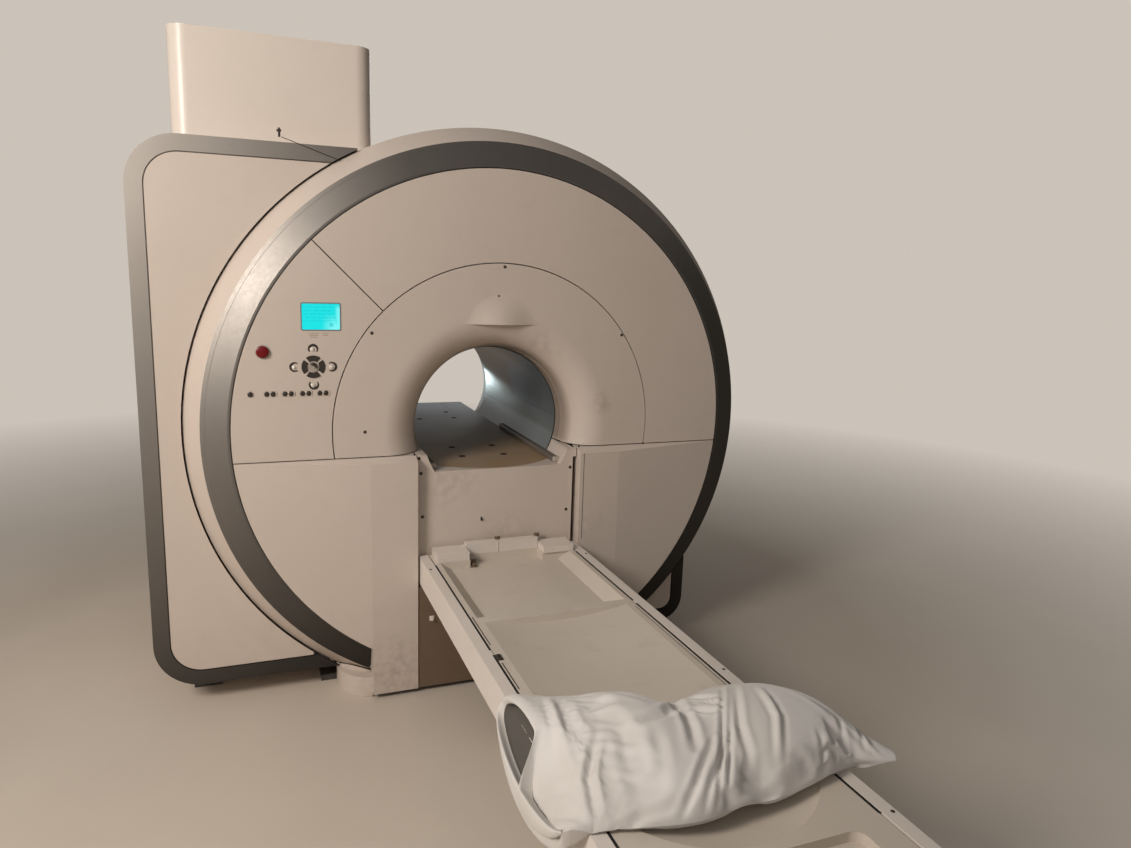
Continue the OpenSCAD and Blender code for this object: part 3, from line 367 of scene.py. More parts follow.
def screen_finish():
    """Lit screen: cyan with a paler lower right corner, faint darker rows and one small mark."""
    material, tree, shader = new_finish("lit_screen", (0.01, 0.30, 0.33), 0.15, coat=0.6)
    place = object_place(tree)
    x = between(tree, split(tree, place)["X"], *SCREEN_X)
    z = between(tree, split(tree, place)["Z"], *SCREEN_Z)
    corner = times(tree, between(tree, x, 0.52, 0.80), between(tree, z, 0.62, 0.12))
    edge = times(tree, between(tree, x, 0.86, 0.95), between(tree, z, 0.95, 0.80))
    pale = math_node(tree, "MAXIMUM", corner, edge)
    rows = between(tree, stripes(tree, place, "Z", 26.0), 0.45, 0.7)
    glyphs = between(tree, noise(tree, place, 260.0, 1.0), 0.46, 0.52)
    inside = times(tree, between(tree, x, 0.92, 0.85), between(tree, z, 0.30, 0.36))
    text = times(tree, times(tree, rows, glyphs), inside)
    spot_x = between(tree, math_node(tree, "ABSOLUTE", plus(tree, x, -0.77)), 0.07, 0.03)
    spot_z = between(tree, math_node(tree, "ABSOLUTE", plus(tree, z, -0.19)), 0.10, 0.05)
    text = math_node(tree, "MAXIMUM", text, times(tree, spot_x, spot_z))
    base = mixed(tree, pale, (0.0, 0.78, 0.80, 1.0), (0.25, 1.0, 0.98, 1.0))
    lit = mixed(tree, times(tree, text, 0.6), base, (0.0, 0.45, 0.52, 1.0))
    tree.links.new(lit, shader["Emission Color"])
    shader["Emission Strength"].default_value = 0.75
    return material


COTTON = (0.70, 0.665, 0.635)


def cotton_finish():
    """White cotton with a fine weave and soft changes of tone."""
    material, tree, shader = new_finish("pillow_cotton", COTTON, 0.85)
    shader["Sheen Weight"].default_value = 0.25
    shader["Sheen Roughness"].default_value = 0.5
    place = object_place(tree)
    weave = plus(tree, stripes(tree, place, "X", 420.0), stripes(tree, place, "Y", 420.0))
    stain = between(tree, noise(tree, place, 4.5, 5.0), 0.35, 0.75)
    add_relief(tree, shader, weave, 0.12, 0.0006)
    tree.links.new(mixed(tree, stain, (*COTTON, 1.0), (0.60, 0.56, 0.51, 1.0)), shader["Base Color"])
    return material


# Finishes

# Place, radius and strength of each stain on the covers
COVER_STAINS = (
    ((0.430, -0.725, 1.130), 0.055, 0.45),
    ((0.372, -0.725, 0.640), 0.10, 0.25),
    ((-0.20, -0.725, 0.86), 0.16, 0.22),
    ((0.05, -0.725, 0.60), 0.14, 0.2),
    ((-0.42, -0.765, 0.10), 0.20, 0.35),
    ((0.17, -0.700, 1.36), 0.10, 0.2),
    ((-0.536, -0.606, 2.002), 0.03, 0.5),
)

# Name, clean colour, colour where worn and roughness of each moulded or painted finish, and what else it sets
MOULDED = {
    # The turret is paler than the covers as painted light: a lit copy of the cover white
    "turret": ("turret_white_painted_light", (0.78, 0.69, 0.61), (0.50, 0.42, 0.35), 0.36,
               {"floor_dirt": 0.35, "coat": 0.12}),
    # The dock panel's dark brown is painted shadow of the table on a white panel
    "dock": ("dock_cover_painted_shade", (0.17, 0.115, 0.075), (0.11, 0.075, 0.05), 0.45, {"floor_dirt": 0.35}),
    "cover": ("cover_white", (0.635, 0.545, 0.475), (0.39, 0.31, 0.25), 0.36,
              {"floor_dirt": 0.35, "coat": 0.12}),
    "table": ("table_white", (0.74, 0.67, 0.61), (0.40, 0.33, 0.26), 0.36, {"tone": 0.15, "floor_dirt": 0.1}),
    "tabletop": ("tabletop_cream", (0.64, 0.57, 0.49), (0.43, 0.36, 0.285), 0.42,
                 {"tone": 0.3, "smudge": 0.25, "bump": 0.06}),
    "band": ("band_grey", (0.25, 0.23, 0.21), (0.14, 0.12, 0.10), 0.46,
             {"tone": 0.3, "smudge": 0.1, "floor_dirt": 0.2, "metallic": 0.7}),
    "liner": ("liner_gloss", (0.115, 0.135, 0.14), (0.07, 0.075, 0.07), 0.17,
              {"tone": 0.15, "coat": 0.6, "bump": 0.02, "peel": 40.0}),
    "runner": ("runner_plastic", (0.15, 0.125, 0.105), (0.09, 0.075, 0.06), 0.45, {}),
    "stop": ("stop_red", (0.17, 0.002, 0.006), (0.05, 0.0, 0.0), 0.30, {"bump": 0.0}),
    "knob": ("knob_grey", (0.42, 0.37, 0.31), (0.2, 0.17, 0.14), 0.3, {}),
    "key": ("key_dark", (0.035, 0.028, 0.022), (0.08, 0.07, 0.06), 0.42, {}),
    "resin": ("glass_fibre_resin", (0.36, 0.27, 0.13), (0.2, 0.15, 0.08), 0.45, {"bump": 0.2}),
    "rubber": ("black_rubber", (0.02, 0.02, 0.02), (0.06, 0.055, 0.05), 0.7,
               {"floor_dirt": 0.2, "bump": 0.2}),
    "black_steel": ("black_steel", (0.03, 0.03, 0.032), (0.09, 0.08, 0.07), 0.45, {"floor_dirt": 0.5}),
    "unit": ("unit_paint", (0.16, 0.17, 0.185), (0.1, 0.1, 0.1), 0.5, {"bump": 0.15}),
    "lift": ("lift_paint", (0.36, 0.35, 0.32), (0.16, 0.14, 0.12), 0.42, {"floor_dirt": 0.35}),
    # Inside of the pillow cover: grey ticking, darkened as painted shade of the pocket
    "inside_shade": ("pillow_inside_shade", (0.10, 0.088, 0.075), (0.07, 0.058, 0.046), 0.9, {}),
    "screw": ("screw_heads", (0.10, 0.08, 0.065), (0.05, 0.04, 0.03), 0.38, {"metallic": 0.5}),
    # Near black: painted shade in screw sockets, board holes and the table's slots, and the colour of dark
    # joints, grooves, the seal, the switch and the line on the band
    "recess": ("recess_shade_and_dark_joints", (0.012, 0.010, 0.009), (0.03, 0.028, 0.025), 0.7, {}),
    # Pale glossy domes: on the pad partly and on the row keys wholly a painted highlight
    "lens": ("pale_lens_and_highlight", (0.70, 0.64, 0.56), (0.5, 0.45, 0.38), 0.12, {"coat": 0.8, "bump": 0.0}),
    "trim": ("display_trim", (0.20, 0.22, 0.24), (0.12, 0.12, 0.12), 0.4, {}),
    "faint": ("faint_print", (0.40, 0.30, 0.22), (0.33, 0.26, 0.2), 0.5, {"bump": 0.0}),
    "clip": ("brown_clip", (0.16, 0.11, 0.07), (0.08, 0.06, 0.04), 0.4, {}),
}

# Name, colour, roughness and stretch of the lines of each bare metal
METAL = {
    "steel": ("vessel_steel", (0.52, 0.53, 0.54), 0.34, (3.0, 260.0, 3.0)),
    "sheet": ("shield_sheet", (0.72, 0.73, 0.74), 0.28, (3.0, 180.0, 3.0)),
    "copper": ("winding_copper", (0.62, 0.30, 0.15), 0.36, (2.0, 420.0, 2.0)),
    "machined": ("machined_metal", (0.50, 0.51, 0.53), 0.3, (300.0, 300.0, 20.0)),
}

FINISH = {key: moulded_finish(name, clean, grime, rough, **more)
          for key, (name, clean, grime, rough, more) in MOULDED.items()}
FINISH.update({key: metal_finish(*row) for key, row in METAL.items()})
FINISH.update({"board": board_finish(), "screen": screen_finish(), "cotton": cotton_finish()})
shade_band(FINISH["band"])
shade_throat(FINISH["cover"])
add_stains(FINISH["cover"], COVER_STAINS)

# Finish of each solid
NODE_FINISH = {
    "cover": ["barrel_cover", "barrel_rim", "upper_cover", "control_cover", "lower_left_cover",
              "lower_right_cover", "bore_surround", "front_panel", "plinth", "body_fronts", "cabinet_shell",
              "rear_covers"] + ["row_key_%d" % i for i in range(1, 6)],
    "table": ["side_panel_left", "side_panel_right", "foot_end_cover", "coil_sockets"],
    "tabletop": ["tabletop"],
    "band": ["face_ring", "body_band"],
    "liner": ["bore_liner"],
    "board": ["bore_board"],
    "runner": ["guide_rails"],
    "screen": ["display"],
    "stop": ["stop_button"],
    "knob": ["centre_button"],
    "key": ["arrow_key_%d" % i for i in range(1, 5)],
    "turret": ["turret_cover"],
    "dock": ["dock_cover"],
    "steel": ["vacuum_vessel", "service_neck", "quench_pipe", "helium_vessel"],
    "sheet": ["thermal_shield", "coil_former"],
    "copper": ["magnet_coils"],
    "resin": ["suspension_rods", "gradient_coil", "rf_body_coil"],
    "machined": ["cold_head"],
    "rubber": ["gradient_supports", "belt_drive"],
    "black_steel": ["magnet_feet", "rack_frame", "table_base", "table_frame"],
    "unit": ["rack_units"],
    "lift": ["lift_stage_lower", "lift_stage_middle", "lift_stage_upper"],
    "cotton": ["pillow"],
}


def give_finish(obj, finish):
    obj.data.materials.clear()
    obj.data.materials.append(finish)


def finish_nodes():
    for key, names in NODE_FINISH.items():
        for name in names:
            give_finish(NODES[name], FINISH[key])


# Floor

FLOOR_Z = -0.001
FLOOR_REACH = 40.0
# Distance from the object at which the floor starts to turn into the backdrop, and where it ends
FADE_START, FADE_END = 2.0, 6.5


def add_floor():
    """Plain pale floor; far away it turns into the backdrop, for the camera alone."""
    material, tree, shader = new_finish("floor_vinyl", (0.60, 0.545, 0.485), 0.6)
    place = object_place(tree)
    broad = between(tree, noise(tree, place, 0.9, 6.0), 0.3, 0.75)
    tree.links.new(mixed(tree, broad, (0.64, 0.56, 0.47, 1.0), (0.57, 0.49, 0.41, 1.0)), shader["Base Color"])
    away = add(tree, "ShaderNodeVectorMath", {"operation": "LENGTH"}, i0=place).outputs["Value"]
    far = between(tree, away, FADE_START, FADE_END)
    seen = tree.nodes.new("ShaderNodeLightPath").outputs["Is Camera Ray"]
    glow = add(tree, "ShaderNodeEmission", Color=BACKDROP, Strength=1.0).outputs[0]
    surface = tree.nodes["Principled BSDF"].outputs[0]
    blend = add(tree, "ShaderNodeMixShader", i0=times(tree, far, seen), i1=surface, i2=glow).outputs[0]
    tree.links.new(blend, tree.nodes["Material Output"].inputs["Surface"])
    mesh = bpy.data.meshes.new("floor")
    corners = [(x * FLOOR_REACH, y * FLOOR_REACH, FLOOR_Z) for x, y in ((-1, -1), (1, -1), (1, 1), (-1, 1))]
    mesh.from_pydata(corners, [], [(0, 1, 2, 3)])
    floor = into_scene("floor", mesh)
    give_finish(floor, material)


# Ways of making small pieces

def rounded_block(bm, low, high, edge=0.0, steps=2):
    corners = bmesh.ops.create_cube(bm, size=1.0)["verts"]
    for v in corners:
        v.co = Vector([low[i] if v.co[i] < 0 else high[i] for i in range(3)])
    if edge:
        edges = list({e for v in corners for e in v.link_edges})
        bmesh.ops.bevel(bm, geom=edges, offset=edge, segments=steps, affect="EDGES", profile=0.5)


def turned(bm, centre, direction, profile, steps=32):
    """Turns points of radius and height about an axis; they start and end on it or at one point."""
    axis = Vector(direction).normalized()
    side = axis.orthogonal().normalized()
    other = axis.cross(side)
    turns = [2 * math.pi * i / steps for i in range(steps)]
    rings = []
    for radius, height in profile:
        base = Vector(centre) + axis * height
        if radius < 1e-6:
            rings.append([bm.verts.new(base)])
        else:
            ways = [math.cos(a) * side + math.sin(a) * other for a in turns]
            rings.append([bm.verts.new(base + radius * way) for way in ways])
    for low, high in zip(rings, rings[1:]):
        for i in range(steps):
            k = (i + 1) % steps
            if len(low) == 1:
                bm.faces.new((low[0], high[k], high[i]))
            elif len(high) == 1:
                bm.faces.new((low[i], low[k], high[0]))
            else:
                bm.faces.new((low[i], low[k], high[k], high[i]))


def join_rings(bm, a, b):
    for i in range(len(a)):
        k = (i + 1) % len(a)
        bm.faces.new((a[i], b[i], b[k], a[k]))


def front_plate(bm, outline, face_y, proud, sunk=0.0005):
    """A flat shape of (x, z) points on an upright face, standing proud of it towards the viewer."""
    near = [bm.verts.new((x, face_y - proud, z)) for x, z in outline]
    back = [bm.verts.new((x, face_y + sunk, z)) for x, z in outline]
    bm.faces.new(near)
    bm.faces.new(back[::-1])
    join_rings(bm, near, back)


def crescent(centre, outer, inner, shift, turn, span=150, steps=14):
    """Outline of a crescent whose thick side points along turn, in degrees."""
    def arc(radius, offset):
        turns = [math.radians(span / 2 - span * i / steps) for i in range(steps + 1)]
        return [(offset + radius * math.cos(a), radius * math.sin(a)) for a in turns]
    points = arc(outer, 0.0) + arc(inner, -shift)[::-1]
    c, d = math.cos(math.radians(turn)), math.sin(math.radians(turn))
    return [(centre[0] + x * c - z * d, centre[1] + x * d + z * c) for x, z in points]


def round_frame(x0, x1, z0, z1, r, steps=5):
    """Outline of an upright rectangle with round corners."""
    points = []
    corners = ((x1 - r, z1 - r, 0), (x0 + r, z1 - r, 90), (x0 + r, z0 + r, 180), (x1 - r, z0 + r, 270))
    for cx, cz, start in corners:
        for i in range(steps + 1):
            a = math.radians(start + 90 * i / steps)
            points.append((cx + r * math.cos(a), cz + r * math.sin(a)))
    return points


def finish_piece(name, bm, finish, body, smooth=True):
    bmesh.ops.recalc_face_normals(bm, faces=bm.faces)
    mesh = bpy.data.meshes.new(name)
    bm.to_mesh(mesh)
    bm.free()
    piece = into_scene(name, mesh)
    give_finish(piece, FINISH[finish])
    if smooth:
        mesh.shade_smooth()
        mesh.set_sharp_from_angle(angle=math.radians(35))
    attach(piece, body)
    return piece


def add_blocks(name, blocks, finish, body, smooth=True):
    """One piece of blocks, each a low and a high corner, then its rounding and steps if it has any."""
    bm = bmesh.new()
    for block in blocks:
        rounded_block(bm, *block)
    return finish_piece(name, bm, finish, body, smooth)


def settle(piece):
    """Makes what the piece's modifiers shape its own mesh, and takes the modifiers off."""
    graph = bpy.context.evaluated_depsgraph_get()
    graph.update()
    mesh = bpy.data.meshes.new_from_object(piece.evaluated_get(graph))
    piece.modifiers.clear()
    piece.data = mesh
    return mesh


def middle(name):
    low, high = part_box(name)
    return [(a + b) / 2 for a, b in zip(low, high)]


# Screws and plugs, set out by Geometry Nodes

def make_fastener_set():
    """A head with a dark recess, a little taller than the head, on every point, all facing one way; the
    recess is painted shade of the screw's socket.
    """
    tree = bpy.data.node_groups.new("fastener_set", "GeometryNodeTree")
    given = (("Points", "NodeSocketGeometry", None), ("Facing", "NodeSocketVector", (0.0, -1.0, 0.0)),
             ("Head Radius", NUMBER, 0.0055), ("Rim Radius", NUMBER, 0.0045), ("Head Height", NUMBER, 0.0016),
             ("Corners", "NodeSocketInt", 20), ("Recess Radius", NUMBER, 0.0024),
             ("Head Finish", "NodeSocketMaterial", None), ("Recess Finish", "NodeSocketMaterial", None))
    for label, kind, value in given:
        socket = tree.interface.new_socket(label, in_out="INPUT", socket_type=kind)
        if value is not None:
            socket.default_value = value
    tree.interface.new_socket("Geometry", in_out="OUTPUT", socket_type="NodeSocketGeometry")
    start = tree.nodes.new("NodeGroupInput").outputs
    end = tree.nodes.new("NodeGroupOutput")
    turn = add(tree, "FunctionNodeAlignRotationToVector", {"axis": "Z"}, Vector=start["Facing"]).outputs[0]
    head = add(tree, "GeometryNodeMeshCone", Vertices=start["Corners"], Radius_Top=start["Rim Radius"],
               Radius_Bottom=start["Head Radius"], Depth=start["Head Height"]).outputs["Mesh"]
    deep = times(tree, start["Head Height"], 1.04)
    recess = add(tree, "GeometryNodeMeshCylinder", Vertices=6, Radius=start["Recess Radius"], Depth=deep)
    raised = add(tree, "ShaderNodeCombineXYZ", Z=times(tree, deep, 0.5)).outputs[0]
    recess = add(tree, "GeometryNodeTransform", Geometry=recess.outputs[0], Translation=raised).outputs[0]
    made = []
    for shape, finish in ((head, "Head Finish"), (recess, "Recess Finish")):
        spread = add(tree, "GeometryNodeInstanceOnPoints", Points=start["Points"], Instance=shape,
                     Rotation=turn)
        solid = add(tree, "GeometryNodeRealizeInstances", Geometry=spread.outputs[0]).outputs[0]
        made.append(add(tree, "GeometryNodeSetMaterial", Geometry=solid, Material=start[finish]).outputs[0])
    join = tree.nodes.new("GeometryNodeJoinGeometry")
    for solid in made:
        tree.links.new(solid, join.inputs[0])
    tree.links.new(join.outputs[0], end.inputs[0])
    return tree


FASTENERS = make_fastener_set()

# Sizes of each kind of fastener
COVER_SCREW = {"Head Radius": 0.0062, "Rim Radius": 0.005}
COVER_PLUG = {"Head Radius": 0.0042, "Rim Radius": 0.0036, "Recess Radius": 0.0016}
PANEL_SCREW = {"Head Radius": 0.0068, "Rim Radius": 0.0055}
RAIL_SCREW = {"Head Radius": 0.005, "Rim Radius": 0.0042, "Head Height": 0.0012}
BOARD_HOLE_SHADE = {"Head Radius": 0.0145, "Rim Radius": 0.0138, "Head Height": 0.0012, "Corners": 24,
              "Recess Radius": 0.004}


def set_fasteners(name, points, facing, body, sizes, head="screw"):
    mesh = bpy.data.meshes.new(name)
    mesh.from_pydata(points, [], [])
    piece = into_scene(name, mesh)
    values = {"Facing": facing, "Head Finish": FINISH[head], "Recess Finish": FINISH["recess"], **sizes}
    modifier = piece.modifiers.new("fasteners", "NODES")
    modifier.node_group = FASTENERS
    for item in FASTENERS.interface.items_tree:
        if item.name in values:
            modifier[item.identifier] = values[item.name]
    settle(piece)
    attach(piece, body)


def add_screws():
    on_face = (
        ("seam_screws", COVER_SCREW, ((0.008, 1.665), (0.507, 1.410), (-0.489, 1.414), (-0.518, 1.051))),
        ("seam_plugs", COVER_PLUG, ((-0.336, 0.957), (0.336, 0.957), (0.628, 0.956), (-0.014, 1.556))),
        ("panel_screws", PANEL_SCREW, ((-0.319, 0.941), (-0.311, 0.881), (-0.305, 0.709), (0.301, 0.871),
                                       (0.289, 0.694), (0.298, 0.478), (-0.300, 0.470))),
    )
    for name, sizes, places in on_face:
        points = [(x, FACE_Y, z) for x, z in places]
        set_fasteners(name, points, FORWARD, "scanner", sizes)
    # Dark discs over the board's holes: painted shade of the holes
    holes = [(x, y, BOARD_Z) for x in (-0.090, 0.090) for y in (-0.490, -0.310, 0.390, 0.570)]
    set_fasteners("board_hole_shades", holes, UPWARD, "scanner", BOARD_HOLE_SHADE, head="recess")
    on_rails = ((-0.311, (-1.857, -0.900, -2.560)), (0.311, (-1.905, -0.900, -2.560)))
    rails = [(x, y, TABLE_Z) for x, row in on_rails for y in row]
    set_fasteners("rail_screws", rails, UPWARD, "table", RAIL_SCREW)
    behind = [(x, z) for x in (-0.62, 0.62) for z in (0.40, 1.05, 1.70)]
    behind += [(0.0, 1.95), (-1.14, 1.6), (-1.14, 1.0), (-1.14, 0.4)]
    rear = [(x, BACK_Y, z) for x, z in behind]
    set_fasteners("rear_screws", rear, BACKWARD, "scanner", COVER_SCREW)
    turret_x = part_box("turret_cover")[0][0]
    side = [(turret_x, y, z) for y in (-0.30, 0.22) for z in (2.12, 2.40)]
    set_fasteners("turret_screws", side, LEFTWARD, "scanner", COVER_SCREW)


# Controls on the front

# Radius and height of the points of each turned shape
COLLAR = [(0.0165, -0.0004), (0.0245, -0.0004), (0.0245, 0.0012), (0.0232, 0.0020), (0.0178, 0.0020),
          (0.0165, 0.0012), (0.0165, -0.0004)]
PAD_LENS_HIGHLIGHT = [(0.0, -0.0004), (0.0078, -0.0004), (0.0078, 0.0010), (0.0064, 0.0024), (0.0036, 0.0034),
            (0.0, 0.0038)]
ROW_DOT = [(0.0, -0.0004), (0.009016, -0.0004), (0.009016, 0.0007), (0.007912, 0.0016), (0.00506, 0.0022),
           (0.0, 0.0024)]
ROW_HIGHLIGHT = [(0.0, -0.0004), (0.0024, -0.0004), (0.0020, 0.0012), (0.0, 0.0016)]
SOCKET_RING = [(0.0, 0.0), (0.0055, 0.0), (0.0055, 0.003), (0.0038, 0.003), (0.0038, 0.001), (0.0, 0.001)]
BORE_SEAL = [(0.3003, 0.0), (0.3027, 0.0), (0.3027, 0.003), (0.3003, 0.003), (0.3003, 0.0)]


def add_stop_button():
    """A red head on a stem, rounded in steps of 15 degrees, and the grey collar that it goes into."""
    x, _, z = middle("stop_button")
    low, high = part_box("stop_button")
    front, back = low[1] - FACE_Y, high[1] - FACE_Y
    stem, cap, rounding = 0.0148, 0.021, 0.0065
    profile = [(0.0, back), (stem, back), (stem, -0.0052), (cap - 0.0015, -0.0055), (cap, -0.0072)]
    for i in range(7):
        a = math.radians(15 * i)
        profile.append((cap - rounding + rounding * math.cos(a), -0.0085 - 0.0042 * math.sin(a)))
    profile += [(0.009, front + 0.0003), (0.004, front + 0.0001), (0.0, front)]
    bm = bmesh.new()
    turned(bm, (x, FACE_Y, z), BACKWARD, profile, 40)
    piece = finish_piece("stop_head", bm, "stop", "stop_button")
    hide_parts("stop_button")
    bm = bmesh.new()
    turned(bm, (x, FACE_Y, z), FORWARD, COLLAR, 40)
    finish_piece("stop_collar", bm, "knob", "scanner")


def add_pad_marks():
    """A crescent with a pale glossy lens on each side of the pad, its paleness partly a painted highlight,
    and the mark on its knob.
    """
    x, _, z = middle("centre_button")
    away = 0.064
    dark, lens = bmesh.new(), bmesh.new()
    for turn in (0, 90, 180, 270):
        cx = x + away * math.cos(math.radians(turn))
        cz = z + away * math.sin(math.radians(turn))
        front_plate(dark, crescent((cx, cz), 0.0175, 0.0125, 0.0035, turn, 250, 20), FACE_Y, 0.0012)
        turned(lens, (cx - 0.002, FACE_Y, cz - 0.002), FORWARD, PAD_LENS_HIGHLIGHT, 20)
    finish_piece("pad_symbols", dark, "key", "scanner")
    finish_piece("pad_lens_highlights", lens, "lens", "scanner")
    knob_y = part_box("centre_button")[0][1]
    bm = bmesh.new()
    front_plate(bm, crescent((x, z), 0.0150, 0.0125, 0.0045, 55, 150), knob_y, 0.0004)
    front_plate(bm, crescent((x, z), 0.0085, 0.0080, 0.0050, 50, 170), knob_y, 0.0004)
    finish_piece("knob_mark", bm, "key", "centre_button")


def add_row_marks():
    """Two dark dots on each key of the row, one on the first, and a small painted highlight on the last
    three.
    """
    apart = 0.0103
    for i in range(1, 6):
        name = "row_key_%d" % i
        x, _, z = middle(name)
        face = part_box(name)[0][1]
        bm = bmesh.new()
        for dx in ((0.0,) if i == 1 else (-apart, apart)):
            turned(bm, (x + dx, face, z), FORWARD, ROW_DOT, 24)
        finish_piece("row_mark_%d" % i, bm, "key", name)
        if i > 2:
            bm = bmesh.new()
            turned(bm, (x + 0.003, face, z + 0.003), FORWARD, ROW_HIGHLIGHT, 12)
            finish_piece("row_light_%d" % i, bm, "lens", name)


def add_display_trim():
    """The screen's frame, and two short blocks of faint print below it."""
    x, _, z = middle("display")
    half_x, half_z = 0.065, 0.046
    bm = bmesh.new()

    def frame_at(grow, r, depth):
        dx, dz = half_x + grow, half_z + grow
        outline = round_frame(x - dx, x + dx, z - dz, z + dz, r)
        return [bm.verts.new((px, FACE_Y + depth, pz)) for px, pz in outline]

    wide, narrow = (0.0035, 0.007), (-0.0005, 0.005)
    profile = ((wide, 0.0004), (wide, -0.0012), (narrow, -0.0012), (narrow, 0.0012))
    rings = [frame_at(*size, depth) for size, depth in profile]
    for a, b in zip(rings, rings[1:] + rings[:1]):
        join_rings(bm, b, a)
    finish_piece("display_frame", bm, "trim", "scanner")
    bm = bmesh.new()
    for x0, x1, rows in ((-0.043, -0.007, 3), (0.004, 0.026, 2)):
        for row in range(rows):
            top = z - half_z - 0.0125 - 0.0062 * row
            line = round_frame(x + x0 + 0.002 * row, x + x1 - 0.003 * row, top - 0.0026, top, 0.0012, 2)
            front_plate(bm, line, FACE_Y, 0.0002)
    finish_piece("display_marks", bm, "faint", "scanner")


# Front panel, dock and mouth

def add_front_fittings():
    add_blocks("panel_switch", [((-0.0725, -0.7325, 0.676), (-0.0675, -0.7190, 0.688), 0.0015)],
               "recess", "scanner")
    dock_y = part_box("dock_cover")[0][1]
    add_blocks("dock_hook", [
        ((-0.285, dock_y - 0.003, 0.296), (-0.267, dock_y + 0.0005, 0.316), 0.001),
        ((-0.279, dock_y - 0.016, 0.299), (-0.272, dock_y - 0.002, 0.304), 0.0015),
        ((-0.279, dock_y - 0.016, 0.299), (-0.272, dock_y - 0.012, 0.313), 0.0015),
    ], "table", "scanner")
    add_blocks("dock_joint", [((0.0, dock_y - 0.0012, 0.025), (0.0022, dock_y + 0.0004, 0.425))],
               "recess", "scanner", smooth=False)


def add_runners():
    """Slim runners on the board, in place of the plain solids, with a pale cap on each front end."""
    low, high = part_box("guide_rails")
    front, back, foot = low[1], high[1], BOARD_Z + 0.0004
    bars, caps = [], []
    for x0, x1 in ((-0.270, -0.242), (0.242, 0.270)):
        bars.append(((x0, front + 0.020, foot), (x1, back - 0.001, BOARD_Z + 0.022), 0.006, 3))
        caps.append(((x0 - 0.001, front + 0.001, foot),
                     (x1 + 0.001, front + 0.0195, BOARD_Z + 0.024), 0.007, 3))
    piece = add_blocks("bore_runners", bars, "runner", "scanner")
    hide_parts("guide_rails")
    add_blocks("runner_caps", caps, "knob", "scanner")


def add_mouth_lines():
    """The dark seal between the tube and the bell mouth, and the fine groove down the right pillar."""
    bm = bmesh.new()
    seal_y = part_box("bore_liner")[0][1] - 0.0035
    turned(bm, (0, seal_y, AXIS_Z), BACKWARD, BORE_SEAL, 96)
    finish_piece("bore_seal", bm, "recess", "scanner")
    pillar_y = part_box("lower_right_cover")[0][1]
    add_blocks("pillar_groove", [((0.3445, pillar_y - 0.0005, 0.575), (0.3465, pillar_y + 0.001, 0.935))],
               "recess", "scanner", smooth=False)


# Top of the cabinet

def add_cabinet_fittings():
    """A small latch on the band's upper edge, and the thin dark line that runs from it."""
    band_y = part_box("body_band")[0][1]
    add_blocks("band_latch", [
        ((-0.784, band_y - 0.004, 2.081), (-0.776, band_y + 0.004, 2.112), 0.002),
        ((-0.789, band_y - 0.006, 2.098), (-0.773, band_y + 0.001, 2.106), 0.002),
    ], "key", "scanner")
    start = Vector((-0.774, band_y - 0.0012, 2.082))
    reach = Vector((-0.577, band_y - 0.0012, 2.018)) - start
    radius = 0.0013
    bm = bmesh.new()
    turned(bm, start, reach, [(0.0, 0.0), (radius, 0.0), (radius, reach.length), (0.0, reach.length)], 10)
    finish_piece("band_dark_line", bm, "recess", "scanner")


# Patient table

def add_table_fittings():
    top = TABLE_TOP_Z
    add_blocks("slot_bridges", [
        ((-0.2885, -1.620, 0.530), (-0.2815, -1.590, TABLE_Z - 0.0006), 0.0012),
        ((0.2815, -1.402, 0.530), (0.2885, -1.377, TABLE_Z - 0.0006), 0.0012),
    ], "table", "table")
    foot, head = TABLE_FOOT + 0.20, TABLE_HEAD - 0.12
    # Dark strips in the slots beside the rails: painted shade of the open slots
    add_blocks("slot_shade_strips", [((x0, foot, top - 0.004), (x1, head, top + 0.0003))
                                for x0, x1 in ((-0.2877, -0.2802), (0.2802, 0.2877))],
               "recess", "table", smooth=False)
    add_blocks("table_grooves", [
        ((-0.2752, -1.556, top - 0.002), (-0.2722, -1.348, top + 0.0004)),
        ((-0.2752, -1.829, top - 0.002), (-0.2722, -1.673, top + 0.0004)),
        ((0.2695, -2.20, top - 0.002), (0.2715, -1.42, top + 0.0003)),
    ], "recess", "table", smooth=False)
    bm = bmesh.new()
    rounded_block(bm, (-0.2815, -1.658, top - 0.002), (-0.2635, -1.622, top + 0.0035), 0.003, 3)
    turned(bm, (-0.2725, -1.634, top + 0.003), UPWARD, SOCKET_RING, 16)
    finish_piece("table_socket", bm, "key", "table")
    plate_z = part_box("coil_sockets")[1][2]
    latches = []
    for x in (-0.012, 0.153):
        latches += [
            ((x - 0.011, -0.7560, plate_z - 0.0035), (x + 0.011, -0.7475, plate_z + 0.011), 0.0018),
            ((x - 0.004, -0.7600, plate_z + 0.003), (x + 0.004, -0.7540, plate_z + 0.0085), 0.0015),
        ]
    add_blocks("head_latches", latches, "clip", "table")
    add_blocks("head_clip", [
        ((-0.143, -0.838, 0.5265), (-0.113, -0.802, 0.5320), 0.002),
        ((-0.143, -0.812, 0.530), (-0.113, -0.802, 0.549), 0.0025),
        ((-0.136, -0.834, 0.531), (-0.120, -0.812, 0.541), 0.003),
    ], "clip", "table")


# Pillow; its numbers are in millimetres, and its points are made in metres

